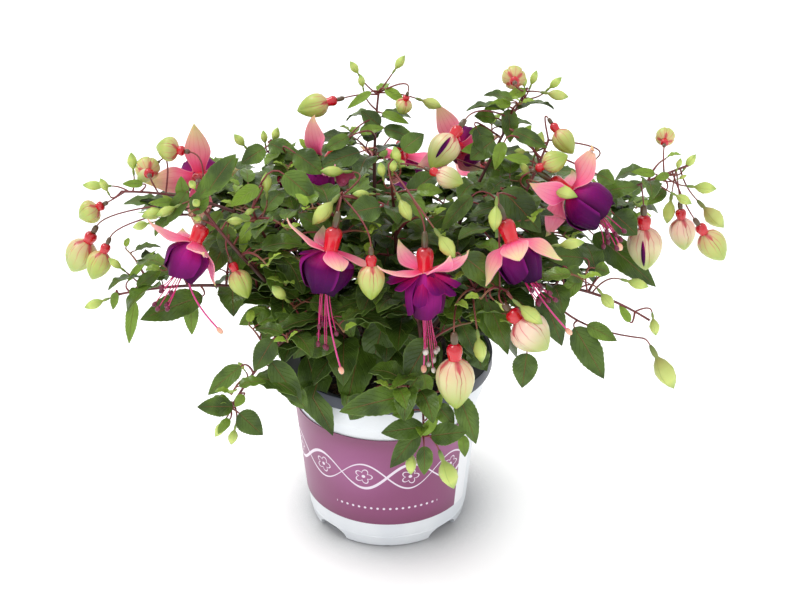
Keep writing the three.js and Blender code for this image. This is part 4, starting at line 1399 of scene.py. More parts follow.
LEAF_ROWS = {
    "left_high": ((0, 184, 201, 181, 176, 13), (20, 187, 192, 167, 224, 15), (23, 143, 184, 122, 184, 8),
        (24, 173, 202, 150, 204, 9), (121, 222, 212, 208, 232, 14, -10.0)),
    "left_front": ((1, 198, 197, 239, 158, 17), (2, 208, 192, 236, 154, 20),
        (100, 194, 214, 208, 186, 16, 8.0), (109, 226, 240, 212, 274, 20, -14.0),
        (118, 228, 226, 224, 256, 17, -16.0), (119, 240, 240, 238, 274, 18, -14.0)),
    "top_left": ((3, 265, 148, 241, 164, 19), (4, 269, 143, 301, 160, 19),
        (5, 295, 153, 322, 174, 24, 32.0), (7, 302, 161, 271, 174, 20)),
    "left_centre": ((6, 284, 174, 315, 202, 23), (8, 259, 187, 230, 206, 15), (17, 250, 221, 241, 256, 11),
        (38, 299, 320, 279, 358, 22), (108, 262, 232, 292, 262, 24, -12.0),
        (110, 252, 262, 272, 292, 24, -12.0), (120, 262, 246, 248, 280, 18, -8.0)),
    "top_centre": ((9, 360, 152, 319, 167, 20, 32.0), (10, 380, 126, 361, 111, 16),
        (11, 385, 89, 405, 103, 10), (12, 371, 92, 347, 109, 8), (13, 384, 128, 417, 140, 15),
        (14, 349, 137, 323, 151, 13, 32.0), (15, 360, 132, 384, 128, 10), (16, 382, 113, 409, 124, 9)),
    "centre_left": ((18, 301, 234, 272, 245, 20), (19, 380, 207, 348, 214, 24),
        (25, 307, 355, 333, 436, 30), (39, 322, 327, 293, 359, 20), (40, 334, 310, 353, 337, 15),
        (89, 340, 300, 353, 340, 17, 12.0), (92, 324, 296, 286, 307, 25), (96, 352, 300, 368, 329, 17),
        (97, 378, 290, 344, 305, 22), (105, 330, 236, 298, 214, 22, -14.0)),
    "left_low": ((21, 137, 287, 162, 270, 13), (22, 128, 281, 156, 250, 7), (30, 203, 296, 140, 320, 26),
        (31, 191, 300, 192, 335, 14), (32, 135, 301, 129, 344, 12), (33, 116, 292, 113, 310, 8),
        (36, 266, 310, 239, 325, 16), (111, 250, 282, 232, 310, 18, -8.0)),
    "front_hang": ((26, 409, 395, 339, 412, 25), (41, 373, 305, 419, 348, 28), (42, 414, 410, 392, 415, 14),
        (43, 424, 427, 381, 433, 20), (44, 419, 432, 390, 468, 18), (45, 424, 446, 424, 475, 15),
        (46, 428, 417, 443, 393, 10), (59, 459, 396, 476, 444, 20), (60, 431, 436, 467, 432, 20),
        (61, 463, 435, 465, 457, 10), (62, 422, 435, 439, 414, 10), (63, 420, 374, 404, 396, 16),
        (64, 424, 374, 428, 396, 14), (65, 437, 405, 454, 426, 16), (86, 362, 336, 346, 410, 36),
        (87, 396, 338, 386, 392, 34), (88, 430, 340, 406, 380, 28), (91, 366, 396, 350, 420, 22),
        (98, 352, 322, 330, 372, 30), (99, 384, 320, 372, 372, 30)),
    "bottom_left": ((27, 241, 366, 208, 395, 17), (28, 233, 407, 197, 407, 18),
        (29, 239, 413, 263, 435, 21), (34, 271, 361, 302, 405, 22), (35, 290, 385, 307, 410, 17),
        (37, 273, 339, 254, 371, 20), (47, 230, 419, 218, 434, 9), (48, 244, 395, 235, 407, 9),
        (90, 306, 350, 342, 343, 20)),
    "right_front": ((49, 461, 255, 502, 291, 26), (50, 487, 301, 508, 355, 20),
        (52, 527, 353, 522, 388, 22), (66, 476, 348, 482, 370, 22), (93, 458, 310, 440, 336, 15),
        (94, 460, 322, 476, 357, 17), (95, 478, 298, 498, 345, 22), (117, 462, 286, 448, 318, 24, -14.0)),
    "right_low": ((51, 541, 292, 562, 346, 25), (53, 574, 327, 604, 379, 26), (54, 587, 325, 617, 341, 15),
        (55, 581, 277, 556, 303, 14), (57, 630, 322, 619, 305, 8), (58, 595, 268, 610, 273, 14),
        (84, 567, 268, 580, 283, 16), (106, 584, 258, 546, 256, 22, -8.0)),
    "right_high": ((56, 593, 234, 656, 287, 29, -24.0), (78, 655, 174, 631, 172, 9),
        (79, 669, 174, 654, 181, 8), (80, 666, 190, 647, 205, 12), (81, 602, 192, 639, 187, 17),
        (82, 614, 214, 637, 235, 27)),
    "top_right": ((67, 508, 109, 510, 143, 17), (68, 526, 90, 503, 100, 10), (69, 511, 103, 484, 109, 11),
        (70, 495, 118, 474, 116, 14), (72, 487, 132, 469, 133, 13), (74, 489, 148, 461, 151, 13),
        (112, 486, 166, 520, 180, 24, -14.0), (113, 476, 128, 494, 160, 20, 14.0),
        (114, 494, 140, 470, 160, 22, 16.0)),
    "right_mid": ((71, 513, 131, 547, 148, 15), (73, 504, 142, 495, 170, 12), (75, 502, 190, 541, 233, 30),
        (76, 472, 196, 441, 231, 16), (77, 530, 161, 504, 157, 10), (83, 597, 174, 615, 183, 16),
        (102, 462, 205, 426, 230, 20, -12.0), (107, 528, 232, 560, 250, 24, -16.0),
        (116, 470, 230, 448, 262, 24, -16.0)),
    "centre": ((85, 417, 190, 443, 192, 12), (101, 408, 196, 442, 170, 22, -10.0),
        (103, 396, 230, 374, 206, 22, -12.0), (104, 392, 238, 382, 276, 24, -14.0),
        (115, 402, 150, 424, 134, 18, -6.0)),
}
PHOTO_LEAVES = {cane: [PhotoLeaf(*row) for row in rows] for cane, rows in LEAF_ROWS.items()}


@dataclass
class Growth:
    """A cane, its place among the canes, and what has grown from it so far."""

    cane: CaneLine
    index: int
    stems: Stock = field(default_factory=Stock)
    leaves: Stock = field(default_factory=Stock)
    buds: Stock = field(default_factory=Stock)


@dataclass
class Foliage:
    """The leaves of every cane: opposite pairs, side shoots, low leaves over the rim and young tips."""

    kept: tuple[Shown, ...]
    thickness: float = 0.34
    slenderness: float = 0.54
    first_pair: float = 0.3
    lean: float = 22.0
    droop: float = 66.0
    spread: float = 62.0
    pixel: float = 0.68
    shoots_at: tuple[float, ...] = (0.26, 0.4, 0.52, 0.64, 0.77, 0.89)
    shoot_pairs: tuple[Triple, ...] = (
        (0.2, 40.0, 0.12), (0.5, 41.0, 0.18), (0.84, 31.0, 0.4), (1.0, 14.0, 0.85))
    form: BladeForm = field(init=False)
    fine_form: BladeForm = field(init=False)

    def __post_init__(self) -> None:
        """Draws the two outlines, the finer one for the leaves that stand out."""
        self.form = BladeForm("leaf_form", 14, 4, leaf_outline, 0.07)
        self.fine_form = BladeForm("fine_leaf_form", 24, 6, leaf_outline, 0.045)

    def hides(self, place: Vector) -> bool:
        """Whether a place stands before something that the photograph shows."""
        pixel, distance = VIEW.pixel(place), (place - Vector(VIEW.place)).length
        return any(item.behind(pixel, distance) for item in self.kept)

    def covers(self, spine: Sequence[Station], half: float) -> bool:
        """Whether a leaf would stand before something that the photograph shows."""
        return any(self.hides(stop.point + stop.side * half * aside)
                   for stop in spine[2::3] for aside in (-0.6, 0.6))

    def leaf(self, growth: Growth, origin: Vector, aim: Triple, length: float, tint: float, draw: float,
             petiole: float = 0.18) -> None:
        """One leaf on its stalk, unless it would hide what the photograph shows.

        Args:
            growth: takes the blade and the stalk.
            origin: where the stalk leaves its stem.
            aim: where it points, in radians, and its lean at the root and its droop by the tip, in degrees.
            length: the whole length, stalk included.
            tint: 0 for old leaves to 1 for the youngest.
            draw: the number that its small differences are drawn from.
            petiole: the stalk's share of the length.
        """
        compass, lean, droop = aim
        ahead = heading(compass, math.radians(lean))
        reach = length * petiole
        blade = length - reach
        root = origin + ahead * reach
        steer = origin + heading(compass, math.radians(lean + 14)) * reach * 0.5
        spine = drooping_spine(root - ahead * 0.4, aim, blade, self.form.rows, 0.35 * jitter(draw, 7))
        half = blade * self.slenderness * (0.5 + 0.05 * jitter(draw, 8))
        if self.covers(spine, half):
            return
        growth.stems.sweep([origin, steer, root], [0.55, 0.45, 0.4], 5, clamp(0.55 + 0.35 * tint, 0.0, 0.95))
        self.form.lay(growth.leaves, [stop.draped() for stop in spine], half, 0.2 + 0.16 * jitter(draw, 9),
                      tint, half * 0.13, jitter(draw, 10))

    def pairs(self, growth: Growth) -> None:
        """The cane's own opposite pairs and the leaf at its tip."""
        cane = growth.cane
        for pair in range(cane.pairs):
            share = mix(self.first_pair, 1.0, (pair + 0.35) / cane.pairs)
            turn = 95.0 if pair % 2 else self.spread
            for side in (0, 1):
                draw = growth.index * 31 + pair * 2 + side
                aim = (cane.ahead() + math.radians((2 * side - 1) * turn + 14 * jitter(draw, 1)),
                       self.lean + 12 * jitter(draw, 2), self.droop + 16 * jitter(draw, 3))
                length = cane.leaf * 1.3 * (1 - 0.42 * share) * (1 + 0.14 * jitter(draw, 4))
                tint = clamp(share - 0.45 + cane.young, 0.05, 0.6)
                self.leaf(growth, cane.at(share), aim, length, tint, draw)
        draw = growth.index * 31 + 29
        aim = (cane.ahead() + math.radians(20 * jitter(draw, 1)), 34.0, 46.0)
        self.leaf(growth, cane.at(0.98), aim, cane.leaf * 0.5, 0.7, draw)

    def shoots(self, growth: Growth) -> None:
        """Side shoots along the cane, each with leaf pairs of its own and a young tip."""
        for number, share in enumerate(self.shoots_at):
            draw = growth.index * 57 + number * 9 + 3
            side = 1 if (number + growth.index) % 2 else -1
            compass = growth.cane.ahead() + math.radians(side * (74 + 34 * jitter(draw, 1)))
            length = mix(46.0, 24.0, share) * (1 + 0.25 * jitter(draw, 2))
            lean = math.radians(26 + 26 * jitter(draw, 3))
            start = growth.cane.at(share)
            end = start + heading(compass, lean) * length
            if self.hides(end):
                continue
            line = (start, start + heading(compass, lean + 0.5) * length * 0.55, end)
            growth.stems.sweep(arch_points(*line, 6), run(0.95, 0.5, 6), 6, run(0.4, 0.85, 6))
            self.shoot_leaves(growth, line, draw, share)

    def shoot_leaves(self, growth: Growth, line: Sequence[Vector], draw: float, share: float) -> None:
        """Three pairs along a side shoot, with a small pair at its tip.

        Args:
            growth: takes them.
            line: the start, bend and end of the shoot.
            draw: the number that their small differences are drawn from.
            share: where along its cane the shoot stands.
        """
        out = line[2] - line[0]
        ahead = math.atan2(out.y, out.x)
        for place, size, tint in self.shoot_pairs:
            turn = 100 if place in (0.2, 0.84) else 58
            for side in (-1, 1):
                own = draw + place * 5 + side
                aim = (ahead + math.radians(side * (turn + 16 * jitter(own, 4))),
                       (52 if place == 1.0 else 22) + 16 * jitter(own, 6), 54 + 18 * jitter(own, 11))
                length = size * (1 - 0.22 * share) * (1 + 0.18 * jitter(own, 5))
                shade = clamp(tint + growth.cane.young + 0.12 * jitter(own, 12), 0.0, 1.0)
                self.leaf(growth, arch(*line, place), aim, length, shade, own)

    def skirt(self, growth: Growth) -> None:
        """Old broad leaves low on the cane, hanging out over the rim."""
        out = math.atan2(growth.cane.knee[1], growth.cane.knee[0])
        for number, share in enumerate((0.1, 0.2)):
            draw = growth.index * 13 + number + 400
            aim = (out + math.radians(42 * jitter(draw, 1)), 12 + 12 * jitter(draw, 2),
                   62 + 14 * jitter(draw, 3))
            self.leaf(growth, growth.cane.at(share), aim, 46 * (1 + 0.16 * jitter(draw, 4)), 0.1, draw, 0.24)

    def seen(self, growth: Growth) -> None:
        """The leaves that stand out in the photograph, each on a stalk from its own cane."""
        for leaf in PHOTO_LEAVES.get(growth.cane.name, ()):
            number = leaf.number
            origin = growth.cane.under_pixel(leaf.root_x, leaf.root_y)
            root = VIEW.clear_spot(leaf.root_x, leaf.root_y, origin.y - leaf.near)
            long = math.hypot(leaf.root_x - leaf.tip_x, leaf.root_y - leaf.tip_y) * self.pixel
            back = 0.25 if leaf.tip_y < leaf.root_y - 8 else -0.22
            tip = VIEW.clear_spot(leaf.tip_x, leaf.tip_y, root.y + back * long)
            facing = Vector((0.25 * jitter(number, 1), -0.75, 0.66))
            lift = long * (0.12 + 0.05 * jitter(number, 2))
            spine = [stop.draped() for stop in facing_spine(root, tip, lift, facing, self.fine_form.rows)]
            tint = 0.16 + growth.cane.young + 0.55 * smooth((22 - leaf.width) / 14) + 0.1 * jitter(number, 3)
            half = leaf.width * self.pixel / 2
            self.fine_form.lay(growth.leaves, spine, half, 0.12 + 0.1 * jitter(number, 4),
                               clamp(tint, 0.0, 0.75), half * 0.13, jitter(number, 5), 2.5)
            bend = root - (tip - root).normalized() * (root - origin).length * 0.45
            path = arch_points(origin, bend, root + (tip - root) * 0.02, 6)
            growth.stems.sweep([draped(place) for place in path], run(0.7, 0.45, 6), 6, 0.62)


# ---- Buds ----


@dataclass
class Stalk:
    """A flower stalk: it arches from its cane and arrives along the flower's own axis."""

    radius: float = 0.52
    arch: float = 0.5
    crook: float = 13.0
    lead: float = 12.0
    steps: int = 10

    def grow(self, growth: Growth, top: Vector, tip: Vector, tint: float = 0.62,
             leaves_at: float | None = None) -> None:
        """Grows a stalk from a cane to a flower or bud.

        Args:
            growth: the cane, and what takes the stalk.
            top: the stalk's end.
            tip: the far end of the flower or bud, which gives its axis.
            tint: the stem tint.
            leaves_at: where along the cane's arch it starts, or None for the nearest place.
        """
        axis = (tip - top).normalized()
        cane = growth.cane
        origin = cane.nearest(top - axis * self.lead) if leaves_at is None else cane.at(leaves_at)
        bend = top - axis * min((origin - top).length * self.arch, self.crook)
        growth.stems.sweep(arch_points(origin, bend, top, self.steps),
                           run(self.radius * 1.15, self.radius * 0.9, self.steps), 7,
                           run(tint - 0.1, tint + 0.05, self.steps))


def axis_frame(top: Vector, tip: Vector, spin: float) -> Matrix:
    """A frame at the end of a stalk whose third axis runs to the far end of what it bears."""
    axis = (tip - top).normalized()
    side = axis.cross(Vector((0.0, 1.0, 0.0))).normalized()
    turn = Matrix((side, axis.cross(side), axis)).transposed().to_4x4()
    return Matrix.Translation(top) @ turn @ Matrix.Rotation(spin, 4, "Z")


@dataclass(frozen=True)
class GreenBud:
    """A green bud: its number, its ripeness, and the pixel and depth of its stalk end and tip.

    The photograph hides the buds from FIRST_HIDDEN on, and their places are millimetres. From a
    ripeness of RIPE a bud has a large bud's shape.
    """

    number: int
    ripeness: float
    top: Triple
    tip: Triple
    girth: float = 0.37
    leaves_at: float | None = None

    def ends(self) -> tuple[Vector, Vector]:
        """The places of its stalk end and its tip."""
        if self.number >= FIRST_HIDDEN:
            return Vector(self.top), Vector(self.tip)
        return VIEW.spot(*self.top), VIEW.spot(*self.tip)


RIPE = 0.6
FIRST_HIDDEN = 100
BUD_ROWS = {
    "left_high": ((0, 0.8, (150, 177, -10), (146, 163, 14), 0.62),
        (1, 0.6, (190, 152, 4), (156, 147, 8), 0.68), (2, 0.75, (108, 202, -4), (79, 218, -6), 0.68),
        (3, 0.3, (112, 186, 2), (82, 185, 2)), (4, 0.3, (110, 196, -4), (100, 178, -4)),
        (5, 0.3, (134, 176, 6), (131, 152, 6)), (6, 0.3, (172, 208, -10), (141, 217, -14)),
        (7, 0.3, (182, 204, -14), (156, 216, -18))),
    "left_low": ((8, 0.3, (126, 272, -40), (108, 258, -42)), (9, 0.3, (110, 298, -38), (84, 308, -40))),
    "left_front": ((10, 0.25, (196, 190, -66), (190, 181, -74)),
        (11, 0.25, (200, 206, -70), (194, 201, -80)), (12, 0.3, (202, 220, -62), (194, 217, -72))),
    "left_centre": ((13, 0.3, (267, 200, -44), (266, 172, -44)),
        (14, 0.35, (258, 208, -50), (244, 214, -56)), (15, 0.3, (250, 221, -50), (226, 221, -52)),
        (16, 0.25, (290, 303, -70), (272, 286, -76))),
    "top_left": ((17, 0.3, (248, 150, 18), (234, 134, 16)), (18, 0.15, (266, 148, 22), (263, 130, 22)),
        (19, 0.15, (272, 146, 22), (278, 127, 22))),
    "top_centre": ((20, 0.25, (361, 78, 32), (350, 61, 32)), (21, 0.25, (364, 92, 30), (360, 74, 30)),
        (22, 0.3, (392, 74, 32), (405, 55, 32)), (23, 0.7, (408, 92, 12), (401, 114, 16), 0.68),
        (24, 0.45, (415, 98, 28), (442, 107, 28))),
    "centre": ((25, 0.3, (400, 168, -48), (394, 146, -52)), (26, 0.2, (392, 176, -50), (394, 160, -54)),
        (27, 0.2, (384, 182, -50), (380, 162, -52)), (28, 0.4, (396, 192, -62), (411, 221, -72)),
        (61, 0.4, (434, 228, -92), (455, 258, -96))),
    "centre_left": ((29, 0.35, (352, 172, -30), (320, 171, -36)),
        (30, 0.4, (340, 194, -66), (312, 225, -72)), (31, 0.3, (376, 194, -56), (352, 194, -62))),
    "right_mid": ((32, 0.3, (530, 152, -2), (514, 151, -6)), (33, 0.35, (534, 158, -4), (542, 131, -2)),
        (34, 0.65, (548, 118, 4), (573, 154, -6), 0.48), (35, 0.7, (530, 172, -34), (568, 155, -34), 0.52),
        (36, 0.3, (530, 176, -20), (521, 163, -26)), (37, 0.4, (540, 183, -40), (578, 197, -48)),
        (38, 0.3, (597, 158, 0), (580, 172, -4)), (53, 0.4, (551, 246, -60), (585, 242, -64))),
    "right_front": ((39, 0.35, (497, 196, -74), (494, 232, -84)),
        (58, 0.35, (477, 329, -100), (482, 363, -104), 0.37, 0.6),
        (59, 0.4, (512, 299, -98), (543, 325, -102)), (60, 0.3, (494, 300, -90), (511, 312, -94))),
    "top_right": ((40, 0.8, (515, 84, 14), (513, 73, 38), 0.66), (41, 0.2, (525, 92, 28), (523, 74, 28)),
        (42, 0.25, (529, 90, 30), (537, 70, 30)), (43, 0.2, (545, 92, 32), (562, 77, 32)),
        (44, 0.45, (540, 92, 26), (569, 97, 26))),
    "right_high": ((45, 0.8, (664, 147, -4), (666, 130, 14), 0.62),
        (46, 0.25, (682, 172, 6), (696, 154, 6)), (47, 0.2, (676, 172, 2), (681, 158, 2)),
        (48, 0.2, (676, 180, 4), (687, 175, 2)), (49, 0.35, (686, 186, 4), (717, 189, 4)),
        (50, 0.35, (670, 192, -8), (692, 204, -12)), (51, 0.5, (697, 200, 8), (724, 228, 6)),
        (52, 0.4, (672, 192, 24), (667, 224, 22))),
    "right_low": ((54, 0.3, (620, 279, -48), (649, 287, -48)), (55, 0.35, (597, 288, -54), (614, 309, -56)),
        (56, 0.4, (652, 312, -44), (656, 336, -46)), (57, 0.45, (650, 345, -40), (674, 389, -42))),
    "front_hang": ((62, 0.3, (411, 446, -110), (411, 475, -112)),
        (63, 0.35, (439, 450, -110), (454, 489, -114))),
    "bottom_left": ((64, 0.25, (227, 417, -92), (215, 437, -94)),
        (65, 0.25, (236, 424, -92), (231, 445, -92)), (66, 0.2, (246, 372, -82), (238, 362, -84))),
    "back_left": ((100, 0.3, (-134, 116, 178), (-142, 122, 164)),
        (105, 0.4, (-112, 112, 198), (-120, 124, 180))),
    "back_middle": ((101, 0.25, (-16, 148, 180), (-18, 154, 164)),
        (106, 0.4, (-44, 134, 196), (-54, 144, 176))),
    "back_right": ((102, 0.3, (134, 116, 188), (146, 122, 178)),
        (107, 0.2, (118, 112, 206), (120, 124, 224))),
    "side_left": ((103, 0.2, (-164, 60, 194), (-180, 64, 188)),
        (108, 0.45, (-150, 64, 208), (-156, 76, 190))),
    "side_right": ((104, 0.25, (170, 62, 200), (186, 66, 196)), (109, 0.4, (152, 66, 212), (164, 78, 200))),
}
GREEN_BUDS = {cane: [GreenBud(*row) for row in rows] for cane, rows in BUD_ROWS.items()}


@dataclass
class GreenBuds:
    """Small closed buds, one shape in many sizes."""

    profile: Profile = (
        (0.0, 0.0), (0.14, 0.01), (0.26, 0.08), (0.3, 0.2), (0.2, 0.27), (0.34, 0.32), (0.72, 0.42),
        (1.0, 0.58), (0.86, 0.74), (0.52, 0.87), (0.2, 0.95), (0.0, 1.0))
    form: Form = field(init=False)

    def __post_init__(self) -> None:
        """Turns the shape: an ovary, a short tube and a four-sided point."""
        part = turned(self.profile, 12)
        lobed(part, 0.09, lambda along: smooth((along - 0.3) / 0.2))
        self.form = as_mesh(part, "green_bud_form")

    def grow(self, growth: Growth, stalk: Stalk, bud: GreenBud) -> None:
        """Adds one bud and its stalk.

        Args:
            growth: takes them. Its buds wear the green skin first, then a large bud's three finishes.
            stalk: the form of the stalk.
            bud: the bud.
        """
        top, tip = bud.ends()
        stalk.grow(growth, top, tip, 0.7 - 0.1 * bud.ripeness, bud.leaves_at)
        length = (tip - top).length
        half = length * bud.girth / 2 * (1 + 0.08 * jitter(bud.number, 21))
        spot = axis_frame(top, tip, math.pi * jitter(bud.number, 22))
        if bud.ripeness >= RIPE:
            BUD_SHAPE.lay(growth.buds, spot, length, half, 0.75, 1)
        else:
            sized = spot @ Matrix.Diagonal((half, half, length, 1.0))
            growth.buds.add(self.form, lambda flat: sized @ flat, bud.ripeness)


@dataclass(frozen=True)
class BudShape:
    """The shape of a large bud: ovary, red tube and a body of four closed sepals that ends in a point."""

    ovary: Profile = (
        (0.0, 0.0), (0.13, 0.01), (0.19, 0.05), (0.2, 0.11), (0.16, 0.155), (0.0, 0.16))
    tube: Profile = (
        (0.0, 0.15), (0.18, 0.155), (0.34, 0.185), (0.41, 0.225), (0.4, 0.27), (0.345, 0.32), (0.33, 0.38),
        (0.0, 0.385))
    body: Profile = (
        (0.0, 0.35), (0.34, 0.355), (0.52, 0.385), (0.76, 0.43), (0.94, 0.5), (1.0, 0.575), (0.98, 0.65),
        (0.87, 0.745), (0.66, 0.84), (0.4, 0.92), (0.16, 0.975), (0.0, 1.0))
    seam: float = 0.13
    hook: float = 0.14

    def lay(self, stock: Stock, spot: Matrix, length: float, half: float, green: float,
            first: int = 0) -> None:
        """Adds one bud.

        Args:
            stock: what it is added to.
            spot: its frame, from the end of its stalk.
            length: its length.
            half: half its width.
            green: how green it still is, as its tint.
            first: the material index of its ovary, with those of tube and body next.
        """
        for index, profile in enumerate((self.ovary, self.tube, self.body)):
            part = turned(profile, 32)
            wrap_uv(part, 0.0, 1.0)
            for vert in part.verts:
                self.shape(vert, index == 2, half, length)
            bmesh.ops.transform(part, matrix=spot, verts=part.verts)
            stock.take(part, green, first + index)

    def shape(self, vert: bmesh.types.BMVert, seamed: bool, half: float, length: float) -> None:
        """Scales a vertex to size, presses the seams in and hooks the point a little.

        Args:
            vert: the vertex, on a shape 1 wide each way and 1 long.
            seamed: whether it is on the body, which has the seams and the point.
            half: half the bud's width.
            length: the bud's length.
        """
        angle = math.atan2(vert.co.y, vert.co.x)
        along = vert.co.z
        press = lean = 0.0
        if seamed:
            press = self.seam * math.exp(-((math.sin(2 * angle) / 0.26) ** 2)) * smooth((along - 0.38) / 0.14)
            lean = self.hook * max(along - 0.74, 0.0) ** 2 * length
        radius = half * (1 - press)
        vert.co = Vector((vert.co.x * radius + lean, vert.co.y * radius, along * length))


BUD_SHAPE = BudShape()


@dataclass(frozen=True)
class LargeBud:
    """One large bud: its cane, the end of its stalk, its tip, how green it is and how far it gapes."""

    name: str
    cane: str
    top: Triple
    tip: Triple
    green: float = 0.3
    gape: float = 0.0
    girth: float = 0.5
    leaves_at: float | None = None

    def build(self, paint: Paint) -> None:
        """Lays the bud, and a dark petal edge in its gape."""
        length = (Vector(self.tip) - Vector(self.top)).length
        half = length * self.girth / 2
        spot = axis_frame(Vector(self.top), Vector(self.tip), math.radians(50 + 40 * jitter(self.top[0], 1)))
        stock = Stock()
        BUD_SHAPE.lay(stock, spot, length, half, self.green)
        stock.object("bud_" + self.name, paint("ovary", "tube", "large_bud"), "large_bud",
                     ["large_bud_" + self.name], sharp=70.0)
        if self.gape:
            self.slit(paint, length, half)

    def slit(self, paint: Paint, length: float, half: float) -> None:
        """The dark petal edge between two sepals of a bud about to open, on the side to the camera.

        Args:
            paint: the finishes.
            length: the bud's length.
            half: half its width.
        """
        stock = Stock()
        top, axis = Vector(self.top), (Vector(self.tip) - Vector(self.top)).normalized()
        towards = Vector(VIEW.place) - top
        out = (towards - axis * towards.dot(axis)).normalized()
        out = (out - 0.1 * out.cross(axis)).normalized()
        form = BladeForm("slit_form", 12, 4, lambda t: math.sin(math.pi * clamp(t, 0.0, 1.0)) ** 0.7)
        spine = []
        for along in run(0.44, 0.86, form.rows):
            radius = half * math.sqrt(max(1 - ((along - 0.6) / 0.4) ** 2, 0.0)) * 1.01
            spine.append(Station(top + axis * along * length + out * radius, axis.cross(out), out))
        form.lay(stock, spine, self.gape, -0.25, 0.0)
        stock.object("bud_slit_" + self.name, paint("petal", "petal"), "corolla", (), 0.6)


LARGE_BUDS = (
    LargeBud("front", "right_front", (40, -110, 200), (42, -114, 150), 0.5, girth=0.46, leaves_at=0.45),
    LargeBud("right_front", "right_front", (69, -92, 209), (96, -100, 182), 0.0, 0.0, 0.62),
    LargeBud("right_inner", "right_high", (166, 2, 232), (171, 0, 186), 0.4, 1.3),
    LargeBud("right_outer", "right_high", (194, 22, 226), (200, 20, 191), 0.2),
    LargeBud("right_end", "right_high", (197, -8, 227), (219, -10, 198), 0.7),
    LargeBud("top_opening", "top_right", (49, -12, 295), (27, -30, 270), 0.5, 1.3),
    LargeBud("top_left", "top_centre", (-27, 32, 294), (-58, 30, 286), 0.8),
    LargeBud("left_front", "left_front", (-95, -60, 225), (-84, -68, 200), 0.8),
    LargeBud("centre", "centre_left", (-8, -92, 246), (-8, -97, 214), 0.7),
    LargeBud("left_end", "left_high", (-187, -4, 220), (-207, -6, 188), 0.6, girth=0.54, leaves_at=0.76),
    LargeBud("left_inner", "left_high", (-176, -18, 218), (-190, -22, 190), 0.9, leaves_at=0.72),
    LargeBud("left_top", "left_high", (-145, 8, 260), (-158, -4, 250), 0.4),
    LargeBud("centre_top", "centre", (23, -48, 277), (46, -60, 272), 0.4),
)


# ---- Flowers ----


@dataclass(frozen=True)
class Corolla:
    """How a flower's purple petals lie: four wrapped into a cup, and short ones that stand out over it."""

    radius: float = 12.4
    length: float = 25.5
    fullest: float = 0.42
    mouth: float = 0.64
    warmth: float = 0.25
    outer: int = 3
    outer_length: float = 15.0
    outer_half: float = 6.0
    lean: Pair = (30.0, 46.0)
    fold: float = -0.25
    lobe: float = 7.0
    reach: float = 66.0
    bulge: float = 1.4
    wind: float = 1.9
    groove: float = 0.9
    ruffle: float = 0.8

    def at(self, share: float) -> float:
        """The cup's radius: it swells from its root and draws in to its mouth."""
        if share < self.fullest:
            return mix(3.6, self.radius, math.sin(math.pi / 2 * share / self.fullest) ** 0.85)
        return self.radius * mix(1.0, self.mouth, ((share - self.fullest) / (1 - self.fullest)) ** 1.8)

    def out(self, aside: float, level: float, phase: float, size: float) -> float:
        """How far from the axis a place of a petal is.

        Args:
            aside: -1 to 1 across the petal.
            level: the place's height in the cup, from 0 to 1.
            phase: where the petal's waves start.
            size: the petal's own size.

        Returns:
            The distance, with the petal's swell, its lap over the next one, its groove and its waves.
        """
        swell = self.bulge * (1 - aside * aside) - self.wind * aside - 0.6
        out = self.at(min(level, 1.0)) * size + swell * smooth(level * 2.2)
        out -= self.groove * math.exp(-((aside + 0.2) / 0.16) ** 2) * smooth(level * 1.6)
        out += level * (max(-aside, 0.0) ** 6 + 0.5 * math.sin(2.4 * aside + 3 * phase))
        return out + self.ruffle * max(level, 0.0) ** 3 * math.sin(7 * aside + 6 * phase)


